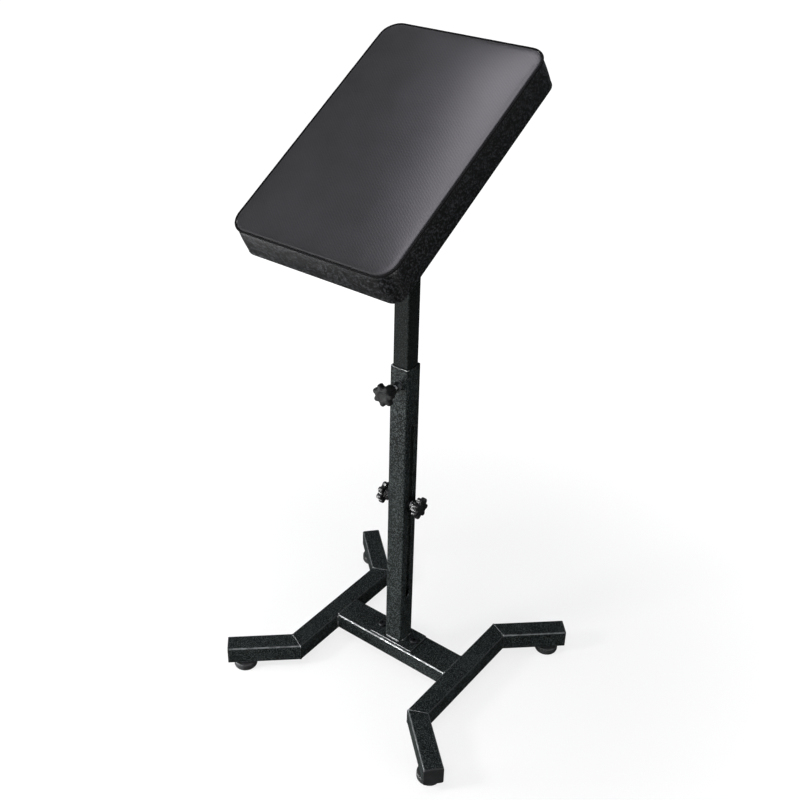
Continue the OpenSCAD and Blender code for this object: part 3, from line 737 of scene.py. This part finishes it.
@dataclass
class Base:
    """The welded base: beam, legs, splayed toes with their plugs and feet, and the post's plate."""

    leg_x: float = 0.125
    bend_y: float = 0.114401
    splay: float = 48.0
    toe_len: float = 0.113
    tube: float = 0.031
    corner: float = 0.003
    leg_z: float = 0.0325
    top: float = 0.048
    beam_half: tuple = (0.1095, 0.0255)
    beam_low: float = 0.019
    plate_half: tuple = (0.042, 0.023)
    plate_t: float = 0.004
    post_half: float = 0.01575
    flange: float = 0.0025
    wall: float = 0.0015
    plug_gap: float = 0.00015
    plug_len: float = 0.014
    foot_y: float = 0.085
    foot_r: float = 0.019
    foot_h: float = 0.016
    stud_top: float = 0.0265
    stud_low: float = 0.006

    def toes(self) -> list[tuple[str, Frame]]:
        """Each toe's name and its frame, whose +Y is the toe's centre line on the floor, from the bend."""
        found = []
        for (end_name, end), (side_name, side) in product(ENDS.items(), SIDES.items()):
            turn = -self.splay * side if end > 0 else 180 + self.splay * side
            bend = Frame().then(moved(side * self.leg_x, end * self.bend_y, 0), turned(turn, "Z"))
            found.append((f"{end_name}_{side_name}", bend))
        return found

    def plugs(self) -> None:
        """A crowned plug with a rounded edge on the end of each toe, in place of the plain flange."""
        half, dome = self.tube / 2, 0.0003
        bore = half - self.wall - self.plug_gap
        cap = slab(half, half, self.corner, -self.flange, -dome, 0.0007, dome)
        neck = slab(bore, bore, 0.0015, -self.flange - self.plug_len, -self.flange, 0.0003)
        for name, toe in self.toes():
            seat = toe.then(moved(0, self.toe_len, self.leg_z), turned(-90, "X"))
            piece = Shell().grid(seat.carry(cap)).grid(seat.carry(neck)).build(f"{name}_plug_cap", Finish.PLUG, 35)
            keep(piece, "base", "black_plastic", f"{name}_plug")

    def feet(self) -> None:
        """Moulded feet: a turned profile with a rounded tread, a rim groove, fine grips and a raised boss."""
        around = 96
        grips = 0.00035 * np.clip(np.cos(24 * angles(around)), 0, 1) ** 2
        r, h = self.foot_r, self.foot_h
        tread = quarter(9)
        low = np.column_stack([r - 0.0045 + 0.0045 * np.sin(tread), 0.0045 * (1 - np.cos(tread)), 0 * tread])
        side = np.array([(r, 0.0052, 0.3), (r, 0.0058, 1), (r, 0.0092, 1), (r, 0.0098, 0.3), (r, 0.0103, 0),
                         (r - 0.0005, 0.0106, 0), (r - 0.0005, 0.0110, 0), (r, 0.0113, 0)])
        brow = quarter(7)
        rim = np.column_stack([r - 0.0022 * (1 - np.cos(brow)), h - 0.0047 + 0.0022 * np.sin(brow), 0 * brow])
        boss = np.array([(0.0108, h - 0.0024, 0), (0.0102, h - 0.0021, 0), (0.0100, h - 0.0016, 0),
                         (0.0098, h - 0.0006, 0), (0.0093, h - 0.0001, 0), (0.0088, h, 0), (0.0046, h, 0)])
        pad = np.array([(0.0040, 0.0006, 0), (0.0095, 0.0006, 0), (0.0102, 0.0, 0), (0.0120, 0.0, 0)])
        shape = revolve(np.concatenate([pad, low, side, rim, boss]), around, grips)
        thread = Thread(self.stud_top - self.stud_low).points()
        for name, toe in self.toes():
            seat = toe.then(moved(0, self.foot_y, 0))
            foot = Shell().grid(seat.carry(shape)).build(f"{name}_foot_moulding", Finish.FOOT, 50)
            keep(foot, f"{name}_levelling_foot", "foot_rubber", f"{name}_foot")
            seat = seat.then(moved(0, 0, self.stud_low))
            stud = Shell().grid(seat.carry(thread)).build(f"{name}_foot_thread", Finish.PLATED, 60)
            keep(stud, f"{name}_levelling_foot", "zinc_steel", f"{name}_foot_stud")

    def plate(self) -> None:
        """The post's plate, with softly rounded edges that catch the light, and a painted glint along those that face
        the front.
        """
        corner, edge = 0.003, 0.0013
        shape = slab(*self.plate_half, corner, self.top, self.top + self.plate_t, edge)
        keep(Shell().grid(shape).build("post_plate", Finish.BEAM_PAINT, 40), "base", "painted_steel", "base_plate")

    def welds(self) -> None:
        """Painted weld beads where the beam meets the legs, at each mitre, and round the post's foot, with a painted
        glint where they face the front.
        """
        shell = Shell()
        reach, half = self.beam_half
        for side in SIDES.values():
            for number, end in enumerate(ENDS.values()):
                x, y = side * reach - side * 0.0004, end * (half + 0.0004)
                upright = np.array([(x, y, self.beam_low + 0.001), (x, y, self.top - 0.002)])
                shell.grid(bead(upright, 0.0019, 11 + 2 * side + number))
            x, z = side * reach + side * 0.0008, self.top - 0.0012
            level = np.array([(x, -half + 0.001, z), (x, half - 0.001, z)])
            shell.grid(bead(level, 0.0017, 21 + side))
            under = level * [1, 1, 0] + [0, 0, self.beam_low + 0.0006]
            shell.grid(bead(under, 0.0019, 31 + side))
            for end in ENDS.values():
                shell.grid(self._mitre(side, end), round_u=True)
        keep(shell.build("base_weld_beads", Finish.BEAM_PAINT, 60), "base", "painted_steel")
        post = Shell()
        foot, edge = self.top + self.plate_t, self.post_half
        inner = edge - 0.0028
        for number, (start, stop) in enumerate((((-inner, -edge), (inner, -edge)), ((edge, -inner), (edge, inner)),
                                                ((inner, edge), (-inner, edge)), ((-edge, inner), (-edge, -inner)))):
            line = np.array([(*start, foot), (*stop, foot)])
            outward = line[:, :2].mean(axis=0)
            line[:, :2] += 0.0005 * outward / np.linalg.norm(outward)
            post.grid(bead(line + [0, 0, 0.0006], 0.0021, 41 + number, 0.0026))
        keep(post.build("post_weld_beads", Finish.BEAM_PAINT, 60), "base", "painted_steel")

    def _mitre(self, side: int, end: int) -> np.ndarray:
        """A low bead round the tube at one bend, in the plane of the mitre."""
        half = self.tube / 2 - 0.0004
        ring = rounded_ring(half / math.cos(math.radians(self.splay / 2)), half, self.corner, 4, (6, 6))
        seat = Frame().then(moved(side * self.leg_x, end * self.bend_y, self.leg_z),
                            turned(-side * end * self.splay / 2, "Z"), turned(90, "X"))
        line = seat.carry(np.column_stack([ring, np.zeros(len(ring))]))
        s = np.arange(len(line))
        return sweep(line, 0.0011 + 0.00012 * np.cos(1.9 * s), 8, closed=True, up=seat.matrix.col[2][:3])

    def make(self) -> None:
        """Dresses the tubes and builds the rest."""
        dress(Finish.LEG_PAINT, "left_leg", "right_leg")
        dress(Finish.BEAM_PAINT, "cross_beam")
        dress(Finish.PAINT, *(f"{name}_toe" for name, _ in self.toes()))
        dress(Finish.PLATED, "toe_nuts", "beam_nuts")
        dress(Finish.BLACKED, "base_bolts")
        self.plugs()
        self.feet()
        self.plate()
        self.welds()


@dataclass(frozen=True)
class Thread:
    """A threaded rod along +Z from z = 0, rounded off at both ends."""

    length: float
    major: float = 0.004
    pitch: float = 0.00125
    depth: float = 0.0006
    around: int = 28

    def points(self) -> np.ndarray:
        """The thread's surface.

        r(z, a) = major - depth T(z / pitch - a / 2 pi), where T is a triangle wave cut flat at its crest, and both
        ends taper over one pitch.

        Returns:
            Points of shape (rows, around, 3).
        """
        z = np.linspace(0, self.length, int(self.length / self.pitch * 7))
        phase = (z[:, None] / self.pitch - angles(self.around)[None] / TURN) % 1.0
        wave = np.clip(1.25 * np.abs(2 * phase - 1) - 0.12, 0, 1)
        taper = np.clip(np.minimum(z, self.length - z) / self.pitch, 0, 1)[:, None]
        return wound(self.major - self.depth * np.maximum(wave, 1 - taper), z)


@dataclass
class StarKnob:
    """A moulded star knob: seven rounded lobes, a fluted hub, and a plated collar with its thread."""

    name: str
    body: str
    seat: Frame
    head_node: str
    stud_node: str
    reach: float
    lobes: int = 7
    tip: float = 0.0175
    root: float = 0.0132
    collar: float = 0.0035
    hub_len: float = 0.008
    hub_r: float = 0.009
    flutes: int = 14
    rim: float = 0.0092
    collar_r: float = 0.006
    finish: Finish = Finish.KNOB

    @property
    def hub_top(self) -> float:
        """How far the hub's top stands off the collar's end."""
        return self.collar + self.hub_len

    @property
    def face(self) -> float:
        """How far the head's face stands off the collar's end."""
        return self.hub_top + self.rim

    def outline(self, around: int) -> np.ndarray:
        """How far the star's outline lies inside its tips at each of the points round the head.

        The cut is half the lobes' height times 1 - tanh(k cos(n a)) / tanh(k), which keeps the lobes broad and
        the valleys round.
        """
        sharp = 1.15
        wave = np.tanh(sharp * np.cos(self.lobes * angles(around))) / math.tanh(sharp)
        return (self.tip - self.root) / 2 * (1 - wave)

    def head(self) -> np.ndarray:
        """The lobed head.

        Rings run from the hub out under the head, round its lower rim, up its side, round its upper rim with a
        2.6 mm radius, and in over the domed face to a shallow dish.

        Returns:
            Points of shape (rings, around, 3).
        """
        low, high, shoulder = 0.0011, 0.0026, 0.0007
        turn = quarter(7)
        full = np.ones(len(turn))
        under = np.array([(self.hub_r - 0.0004, self.hub_top - 0.0004, 0), (0.0105, self.hub_top, 0.1)])
        lower = np.column_stack([self.tip - low * (1 - np.sin(turn)), self.hub_top + low * (1 - np.cos(turn)), full])
        upper = np.column_stack([self.tip - high * (1 - np.cos(turn)),
                                 self.face - shoulder - high * (1 - np.sin(turn)), full])
        dish = np.array([(0.0135, 0.0005, 0.72), (0.0115, 0.00025, 0.35), (0.0092, 0.00005, 0.08), (0.0074, 0, 0),
                         (0.0066, 0.0002, 0), (0.0058, 0.00045, 0), (0.0035, 0.0006, 0), (0.0012, 0.0006, 0)])
        inner = dish * [1, -1, 1] + [0, self.face, 0]
        around = 24 * self.lobes
        return revolve(np.concatenate([under, lower, upper, inner]), around, self.outline(around))

    def hub(self) -> np.ndarray:
        """The fluted hub: round flutes cut 0.9 mm deep, fading out at its foot."""
        around = 12 * self.flutes
        cut = 0.0009 * (0.5 + 0.5 * np.cos(self.flutes * angles(around))) ** 1.5
        r, low, top = self.hub_r, self.collar, self.hub_top
        profile = np.array([(0.0046, low, 0), (r - 0.0012, low, 0.2), (r - 0.0004, low + 0.0003, 0.6),
                            (r, low + 0.001, 1), (r, top - 0.0012, 1), (r + 0.0002, top - 0.0004, 1),
                            (r + 0.0006, top + 0.0003, 0.5)])
        return revolve(profile, around, cut)

    def shaft(self) -> tuple[np.ndarray, np.ndarray]:
        """The plated collar, with a chamfer at each end, and the thread below and inside it."""
        r, top = self.collar_r, self.collar
        profile = np.array([(r - 0.0008, 0), (r - 0.0002, 0.0002), (r, 0.0007), (r, top - 0.0012),
                            (r - 0.0003, top - 0.0008), (r - 0.0003, top + 0.0002)])
        return revolve(profile, 48), Thread(self.reach + 0.0015).points() - [0, 0, self.reach]

    def make(self, bored: bool = False) -> None:
        """Builds the head and the shaft, whose thread is left out of a bored knob with a threaded insert."""
        grip = Shell().grid(self.seat.carry(self.head())).grid(self.seat.carry(self.hub()))
        keep(grip.build(f"{self.name}_star_grip", self.finish, 42), self.body, "black_plastic", self.head_node)
        collar, rod = self.shaft()
        metal = Shell().grid(self.seat.carry(collar))
        if not bored:
            metal.grid(self.seat.carry(rod))
        keep(metal.build(f"{self.name}_collar", Finish.PLATED, 45), self.body, "zinc_steel", self.stud_node)


@dataclass
class Posts:
    """The telescopic posts with their knobs, nuts and washers."""

    stud_z: float = 0.327
    clamp_z: float = 0.538
    half: float = 0.01575
    nut_h: float = 0.008
    clamp_gap: float = 0.004
    washer_t: float = 0.002
    washer_r: float = 0.011
    nut_af: float = 0.013

    def face(self, height: float, degrees: float, axis: str, out: float) -> Frame:
        """A place off a face of the outer post, whose +Z leads away from it."""
        return Frame().then(moved(0, 0, height), turned(degrees, axis), moved(0, 0, self.half + out))

    def clamp(self) -> None:
        """The clamp knob on the front of the outer post, and the bead round its weld nut."""
        seat = self.face(self.clamp_z, 90, "X", self.nut_h + self.clamp_gap)
        StarKnob("clamp_knob", "clamp_knob", seat.then(turned(12, "Z")), "clamp_knob_head", "clamp_knob_stud", 0.0143,
                 hub_len=0.015, finish=Finish.MATT_KNOB).make()
        angle = angles(72)
        flat = self.nut_af / 2 / np.cos((angle + math.pi / 6) % (math.pi / 3) - math.pi / 6)
        ring = wound(flat[None], np.zeros(1))[0]
        radius = 0.0013 + 0.00022 * np.abs(np.sin(9 * angle))
        ring = sweep(self.face(self.clamp_z, 90, "X", 0.0003).carry(ring), radius, 8, closed=True, up=(0, 1, 0))
        keep(Shell().grid(ring, round_u=True).build("clamp_nut_weld", Finish.PAINT, 60), "base", "painted_steel")

    def side_knobs(self) -> None:
        """The two knobs whose studs run in the slots."""
        for (name, side), spin in zip(SIDES.items(), (8, 25)):
            seat = self.face(self.stud_z, side * 90, "Y", self.washer_t).then(turned(spin, "Z"))
            knob = f"{name}_side_knob"
            StarKnob(knob, f"{name}_knob", seat, f"{knob}_head", f"{knob}_stud", 0.0131).make()

    def washers(self) -> None:
        """Blackened washers with rounded rims, a hair off the slots so that they never lie in the post's face."""
        bore, hair, r, top = 0.00405, 0.00006, self.washer_r, self.washer_t
        edge = np.array([(bore, hair), (r - 0.0005, hair), (r - 0.0001, 0.00022), (r, 0.0006), (r, top - 0.0006),
                         (r - 0.0001, top - 0.0002), (r - 0.0005, top), (bore, top)])
        for name, side in SIDES.items():
            ring = self.face(self.stud_z, side * 90, "Y", 0).carry(revolve(edge))
            keep(Shell().grid(ring, round_u=True).build(f"{name}_slot_washer", Finish.BLACKED, 40), f"{name}_washer",
                 "zinc_steel", f"{name}_side_washer")

    def make(self) -> None:
        """Dresses the posts and builds their knobs."""
        dress(Finish.RIM_PAINT, "outer_post")
        # The inner post gets the darker copy of the paint: a painted shade of the pad's shadow.
        dress(Finish.SLIDE_PAINT, "inner_post")
        dress(Finish.PAINT, "clamp_nut")
        dress(Finish.PLATED, "inner_post_nuts", "pivot_bush")
        self.clamp()
        self.side_knobs()
        self.washers()


@dataclass
class Pad:
    """The tilting pad and the saddle that carries it."""

    pivot_z: float = 0.824
    tilt: float = 31.0
    drop: float = 0.043
    width: float = 0.250
    length: float = 0.378
    side_h: float = 0.050
    crown: float = 0.005
    roll: float = 0.0009
    corner: float = 0.026
    foot_corner: float = 0.018
    brim: float = 0.0036
    draw_in: float = 0.0018
    welt: float = 0.0013
    wrap: float = 0.0073
    board_t: float = 0.012
    tilt_seat: float = 0.01975
    cloth_half: tuple = (0.115, 0.179)

    def seat(self) -> Frame:
        """The pad's own frame: its underside is z = 0 and its low edge is at -Y."""
        return Frame().then(moved(0, 0, self.pivot_z), turned(self.tilt, "X"), moved(0, 0, self.drop))

    def ring(self, inset: float, z: float | np.ndarray, corner: float | None = None) -> np.ndarray:
        """One loop round the pad, set in from its outline, at a height, with another corner radius if it is given."""
        radius = max((corner or self.corner) - inset, 0.002)
        loop = rounded_ring(self.width / 2 - inset, self.length / 2 - inset, radius, 12, (46, 28))
        return np.column_stack([loop, np.broadcast_to(z, len(loop))])

    def inset(self, points: np.ndarray) -> np.ndarray:
        """How far points lie inside the pad's outline in plan.

        With q the distance past the corners' centres on each axis, it is the corner radius less the length of
        q's positive part, less q's larger value where that is negative.

        Args:
            points: Places, the last axis starting with x and y.

        Returns:
            The inset of each.
        """
        past = np.abs(points[..., :2]) - [self.width / 2 - self.corner, self.length / 2 - self.corner]
        return self.corner - np.linalg.norm(np.maximum(past, 0), axis=-1) - np.minimum(past.max(axis=-1), 0)

    def cover(self) -> bpy.types.Object:
        """The stuffed cover, from the board's edge up the sides and across the crowned top.

        Loops of the outline are set in and raised: under the edge, up the drawn-in side, whose corners widen from
        foot_corner to corner, and into the seam's groove. The top's loops are that outline drawn in towards the
        middle, and with k the distance from the long and from the short sides over half the width, it rises by
        crown (1 - (1 - kx)^p) (1 - (1 - ky)^p), and beside the seam by roll (1 - exp(-inset / fall)).

        Returns:
            The mesh object, in the pad's own frame.
        """
        under = [(self.wrap - 0.0002, self.board_t + 0.0002), (self.wrap - 0.0002, 0.0002)]
        foot = [(0.0050, -0.00015), (0.0034, 0.0001), (0.0022, 0.0007), (0.0013, 0.0017), (0.0008, 0.0032)]
        heights = np.linspace(0.006, self.side_h - 0.0045, 10)
        bulge = np.sin(math.pi * heights / self.side_h) ** 0.7
        side = [(self.welt / 2 + self.draw_in * (0.75 - 0.7 * k), z) for k, z in zip(bulge, heights)]
        seam = [(self.welt / 2 + 0.0013, self.side_h - 0.0024), (self.welt / 2 + 0.0020, self.side_h - 0.0012),
                (self.welt / 2 + 0.0024, self.side_h - 0.0004)]
        widen = self.corner - self.foot_corner
        loops = [self.ring(inset, z) for inset, z in under]
        loops += [self.ring(inset, z, self.foot_corner + widen * max(z, 0) / self.side_h)
                  for inset, z in (*foot, *side)]
        loops += [self.ring(inset, z) for inset, z in seam]
        shares = (1.0, 0.992, 0.982, 0.97, 0.955, 0.936, 0.91, 0.875, 0.835, 0.79, 0.74, 0.68, 0.61, 0.53, 0.44,
                  0.34, 0.23, 0.12, 0.04)
        power, fall = 2.6, 0.0032
        outer = np.array([self.width, self.length]) / 2
        for share in shares:
            loop = self.ring(self.brim, self.side_h) * [share, share, 1]
            near = np.clip((outer - np.abs(loop[:, :2])) / (self.width / 2), 0, 1)
            loop[:, 2] += (self.crown - self.roll) * np.prod(1 - (1 - near) ** power, axis=1)
            loop[:, 2] += self.roll * (1 - np.exp(-(self.inset(loop) - self.brim) / fall))
            loops.append(loop)
        return Shell().grid(np.stack(loops)).build("pad_cover", Finish.VINYL, 60)

    def swell(self, piece: bpy.types.Object) -> None:
        """Swells the cover by cloth simulation, held at its seam and round the board.

        The sides keep a third of the movement. The top's is evened out: with X and Y from -1 to 1 across it, the
        rise is the least-squares fit of (1 - X^2) (1 - Y^2) times 1, X, Y, X^2 and Y^2. Both are capped.

        Args:
            piece: The cover, in the pad's own frame.
        """
        cap, side_share, frames = 0.0024, 0.33, 20
        settings = {"quality": 6, "mass": 0.35, "tension_stiffness": 22, "compression_stiffness": 22,
                    "shear_stiffness": 12, "bending_stiffness": 2.5, "vertex_group_mass": "held",
                    "use_pressure": True, "uniform_pressure_force": 4.0}
        mesh = piece.data
        rest = np.zeros(len(mesh.vertices) * 3)
        mesh.vertices.foreach_get("co", rest)
        rest = rest.reshape(-1, 3)
        z, inset = rest[:, 2], self.inset(rest)
        seam = (np.abs(z - (self.side_h - 0.0012)) < 0.0015) & (inset < 0.005)
        held = seam | (z < 0.0012) | ((z < self.board_t + 0.001) & (inset > self.wrap - 0.001))
        group = piece.vertex_groups.new(name="held")
        group.add(np.nonzero(held)[0].tolist(), 1.0, "REPLACE")
        cloth = piece.modifiers.new("swell", "CLOTH")
        for key, value in settings.items():
            setattr(cloth.settings, key, value)
        cloth.settings.effector_weights.gravity = 0.0
        cloth.collision_settings.use_collision = False
        for number in range(frames):
            bpy.context.scene.frame_set(number + 1)
        evaluated = piece.evaluated_get(bpy.context.evaluated_depsgraph_get())
        swollen = np.zeros(len(rest) * 3)
        evaluated.data.vertices.foreach_get("co", swollen)
        shift = swollen.reshape(-1, 3) - rest
        piece.modifiers.remove(cloth)
        piece.vertex_groups.remove(group)
        bpy.context.scene.frame_set(1)
        far = np.linalg.norm(shift, axis=1, keepdims=True)
        LOG.info("the cover swelled by up to %.1f mm", far.max() / MM)
        top = z > self.side_h - 1e-5
        x, y = np.clip(rest[:, :2] / (np.array([self.width, self.length]) / 2 - self.brim), -1, 1).T
        basis = ((1 - x ** 2) * (1 - y ** 2))[:, None] * np.stack([0 * x + 1, x, y, x ** 2, y ** 2], axis=-1)
        rise = basis @ np.linalg.lstsq(basis[top], shift[top, 2], rcond=None)[0]
        shift = np.where(top[:, None], rise[:, None] * [0, 0, 1], shift * side_share)
        far = np.linalg.norm(shift, axis=1, keepdims=True)
        shift *= np.minimum(1, cap / np.maximum(far, 1e-9))
        mesh.vertices.foreach_set("co", (rest + shift).astype(np.float32).ravel())
        mesh.update()

    def seam_trim(self) -> None:
        """The welt round the top panel, and the run of stitches beside it."""
        seat = self.seat()
        line = self.ring(self.welt * 0.95, self.side_h - 0.0009)
        s = np.arange(len(line))
        radius = self.welt * (1 + 0.03 * np.sin(0.9 * s) + 0.02 * np.sin(2.3 * s + 1))
        welt = Shell().grid(seat.carry(sweep(line, radius, 12, closed=True)), round_u=True)
        # The welt's near-black vinyl is a painted shadow line along the seam.
        keep(welt.build("pad_welt", Finish.WELT, 60), "pad", "pad_vinyl")
        stitches = Shell()
        pitch, stitch, thread = 0.0036, 0.0026, 0.0003 * np.array([0.5, 1, 1.1, 1.1, 1, 0.5])
        track = self.ring(0.0019, self.side_h - 0.0036)
        outward = unit(np.cross(heading(track), (0, 0, 1)))
        loop = looped(np.hstack([track, outward]))
        travel = lengths(loop[:, :3])
        full = travel[-1]
        places = np.linspace(0, full, int(full / pitch), endpoint=False)[:, None] + np.linspace(0, stitch, 6)[None]
        table = on_track(places % full, travel, loop)
        hump = 0.00055 * np.sin(np.linspace(0, math.pi, 6)) - 0.00035
        for run in table[..., :3] + table[..., 3:] * hump[None, :, None]:
            stitches.grid(seat.carry(sweep(run, thread, 5)))
        keep(stitches.build("pad_stitches", Finish.STITCH, 80), "pad", "pad_vinyl")

    def underside(self) -> None:
        """The turned-under hem of the cover, the stretched cloth with its folded edge, and the staples."""
        seat = self.seat()
        rows = [(0.0046, 0.0001), (0.0060, -0.0003), (0.0090, -0.0004), (0.0150, -0.0004), (0.0155, -0.0002),
                (0.0150, 0.0001)]
        loops = []
        for number, (inset, z) in enumerate(rows):
            ring = self.ring(inset, z)
            ring[:, 2] += 0.00012 * np.sin(0.55 * np.arange(len(ring)) + number) * (1 <= number <= 3)
            loops.append(ring)
        keep(Shell().grid(seat.carry(np.stack(loops)), round_u=True).build("pad_turned_hem", Finish.VINYL, 60),
             "pad", "pad_vinyl")
        u = np.linspace(-1, 1, 93)[:, None]
        v = np.linspace(-1, 1, 61)[None]
        hx, hy = self.cloth_half
        edge = np.minimum(hy * (1 - np.abs(u)), hx * (1 - np.abs(v)))
        fold = 0.00008 * np.sin(9 * u + 3 * v) * np.sin(7 * v - 2 * u) + 0.00005 * np.sin(31 * u) * (1 - v ** 2)
        z = -0.0008 + (0.0003 + fold) * np.clip((edge - 0.004) / 0.006, 0, 1)
        x, y = hx * v + 0 * u, hy * u + 0 * v
        r = 0.016
        a = np.clip((np.abs(x) - hx + r) / r, 0, 1)
        c = np.clip((np.abs(y) - hy + r) / r, 0, 1)
        x, y = (np.sign(x) * (np.abs(x) + r * a * (np.sqrt(1 - c ** 2 / 2) - 1)),
                np.sign(y) * (np.abs(y) + r * c * (np.sqrt(1 - a ** 2 / 2) - 1)))
        cloth = Shell().grid(seat.carry(np.dstack([x, y, z])), round_v=False)
        cloth = cloth.build("underside_dust_cloth", Finish.CLOTH)
        thick = cloth.modifiers.new("thickness", "SOLIDIFY")
        thick.thickness, thick.offset = 0.0003, 0.0
        keep(cloth, "pad", "underside_cloth", "underside_cloth")
        self.staples(seat)

    def staples(self, seat: Frame) -> None:
        """Wire staples round the cloth's edge: a flat crown with two bent legs each."""
        count, skewed, wire = 38, 0.12, 0.00032
        loop = looped(self.ring(0.0145, -0.0012))
        travel = lengths(loop)
        full = travel[-1]
        shape = np.array([(-0.005, 0.0012), (-0.005, 0.0002), (-0.0046, 0.0), (0.0, 0.0), (0.0046, 0.0),
                          (0.005, 0.0002), (0.005, 0.0012)])
        metal = Shell()
        draw = np.random.default_rng(5)
        for place, skew in zip((np.arange(count) + 0.5) / count * full, draw.uniform(-skewed, skewed, count)):
            here, ahead = on_track((place + np.array([0, 0.002])) % full, travel, loop)
            way = unit(ahead - here)
            way = np.array([way[0] - skew * way[1], way[1] + skew * way[0], 0])
            line = here + shape[:, :1] * way + shape[:, 1:] * [0, 0, 1]
            metal.grid(seat.carry(sweep(line, wire, 6, up=(way[1], -way[0], 0))))
        keep(metal.build("cloth_staples", Finish.PLATED, 60), "pad", "zinc_steel")

    def pivot(self) -> None:
        """The tilt knob on the saddle's right ear."""
        ear = Frame().then(moved(0, 0, self.pivot_z), turned(self.tilt, "X"), turned(90, "Y"),
                           moved(0, 0, self.tilt_seat), turned(20, "Z"))
        StarKnob("tilt_knob", "tilt_knob", ear, "tilt_knob_head", "tilt_knob_insert", 0.0).make(bored=True)

    def make(self) -> None:
        """Dresses the mount and builds the pad."""
        dress(Finish.PAINT, "saddle")
        dress(Finish.WASHER, "friction_washers")
        dress(Finish.PLATED, "pivot_bolt", "pad_screws", "tilt_washer")
        dress(Finish.BOARD, "pad_board")
        self.pivot()
        cover = self.cover()
        self.swell(cover)
        cover.data.transform(self.seat().matrix)
        refine = cover.modifiers.new("refine", "SUBSURF")
        refine.levels = refine.render_levels = 1
        keep(cover, "pad", "pad_vinyl", "pad_cushion")
        self.seam_trim()
        self.underside()


@dataclass
class Studio:
    """The camera, the floor and the soft lights."""

    place: tuple = (0.7849, -1.0784, 1.3185)
    target: tuple = (-0.00846, 0.00012, 0.50315)
    roll: float = math.radians(1.39)
    lens: float = 48.51
    glow: float = 0.76
    paper: float = 0.2
    dim: tuple = (0.03, 0.29)
    boom: float = 1.75
    mauve: tuple = (1.0, 0.96, 1.05)

    def camera(self) -> None:
        """A view from the photograph's place: back, right and up are turned by the roll."""
        back = (Vector(self.place) - Vector(self.target)).normalized()
        right = Vector((0, 0, 1)).cross(back).normalized()
        up = back.cross(right)
        right, up = (math.cos(self.roll) * right + math.sin(self.roll) * up,
                     math.cos(self.roll) * up - math.sin(self.roll) * right)
        data = bpy.data.cameras.new("view")
        data.lens, data.sensor_width, data.sensor_fit = self.lens, 36.0, "HORIZONTAL"
        data.clip_start, data.clip_end = 0.05, 100.0
        seen = linked("view", data)
        seen.matrix_world = Matrix((right, up, back)).transposed().to_4x4()
        seen.location = self.place
        bpy.context.scene.camera = seen

    def sweep_paper(self) -> None:
        """A white paper sweep: a round floor that bends up into a wall far away.

        Its profile is level out to 14 m and then follows a quarter circle. It glows, less about the stand, so that
        it comes out white and the shadows stay light. It throws no light back on the stand.
        """
        reach, bend, rings = 14.0, 8.0, 24
        level = np.column_stack([np.linspace(0.5, reach, rings), np.zeros(rings)])
        turn = quarter(rings)[1:]
        wall = np.column_stack([reach + bend * np.sin(turn), bend * (1 - np.cos(turn))])
        b = Bench(bpy.data.materials.new("sweep_paper"))
        where = b.place()
        away = b.add("ShaderNodeVectorMath", {"operation": "LENGTH"}, {0: where}, out="Value")
        tone = b.blend(b.noise(where, 3.0, 2.0, 0.5), (self.paper,) * 3, (self.paper * 1.04,) * 3)
        glow = b.blend(away.ramp(0.3, 1.2), (self.glow,) * 3, (1.0, 1.0, 1.0))
        paper = b.surface(Base_Color=tone, Roughness=0.8, Emission_Color=glow, Emission_Strength=1.0)
        mesh = Shell().grid(revolve(np.concatenate([level, wall])), ends=(True, False)).mesh("sweep_paper")
        mesh.materials.append(paper)
        made = linked("sweep_paper", mesh)
        made.visible_glossy = made.visible_diffuse = made.visible_shadow = False

    def lamp(self, name: str, place: tuple, aim: tuple, size: tuple, power: float, tint: tuple = (1, 1, 1)) -> None:
        """An area light.

        Args:
            name: Its name.
            place: Where it hangs.
            aim: The point that it faces.
            size: Its width and height.
            power: Its power in watts.
            tint: Its colour.
        """
        data = bpy.data.lights.new(name, "AREA")
        data.shape, data.size, data.size_y, data.energy, data.color = "RECTANGLE", size[0], size[1], power, tint
        made = linked(name, data)
        made.location = place
        made.rotation_euler = (Vector(place) - Vector(aim)).to_track_quat("Z", "Y").to_euler()
        made.visible_camera = False

    def room(self) -> None:
        """A dim room, darker below the floor's level than above it."""
        b = Bench(bpy.data.worlds.new("room"))
        height = b.split(b.add("ShaderNodeTexCoord", out="Generated"))[2]
        below, above = self.dim
        strength = b.add("ShaderNodeMapRange", None, {"Value": height, "From Min": -0.25, "From Max": 0.35,
                                                      "To Min": below, "To Max": above})
        sky = b.add("ShaderNodeBackground", None, {"Color": (0.93, 0.98, 1.0, 1), "Strength": strength})
        b.add("ShaderNodeOutputWorld", None, {"Surface": sky})
        bpy.context.scene.world = b.owner

    def make(self) -> None:
        """Sets the camera, the paper, the lights and a dim room."""
        self.camera()
        self.sweep_paper()
        for name, x, y, size, power in (("top_softbox", -0.26, 0.16, (0.2, 0.48), 2.0),
                                        ("low_softbox", -0.2, -0.42, (0.2, 0.7), 2.0),
                                        ("rim_strip", 0.09, -0.3, (0.3, 1.4), 6.2),
                                        ("left_strip", -0.92, -0.4, (0.3, 0.8), 0.5)):
            self.lamp(f"pad_{name}", (x, y, self.boom), (x, y, 0), size, power, self.mauve)
        self.lamp("low_left_softbox", (-0.8, -0.85, 0.11), (0, 0, 0.15), (0.45, 0.2), 21)
        self.lamp("edge_light", (-0.66, -1.15, 0.95), (0, 0, 0.2), (0.3, 0.3), 13)
        self.lamp("front_fill", (0.2, -1.5, 0.3), (0, 0, 0.1), (0.5, 0.3), 8)
        self.lamp("right_fill", (1.9, -0.4, 0.5), (0, 0, 0.3), (1.2, 0.8), 16)
        self.room()
        bpy.context.scene.view_settings.view_transform = "Standard"


def main() -> None:
    """Builds every sub-assembly in order and logs each one's name."""
    logging.basicConfig(level=logging.INFO, format="%(message)s")
    for part in (Studio(), Base(), Posts(), Pad()):
        LOG.info("building %s", type(part).__name__)
        part.make()


if __name__ == "__main__":
    main()
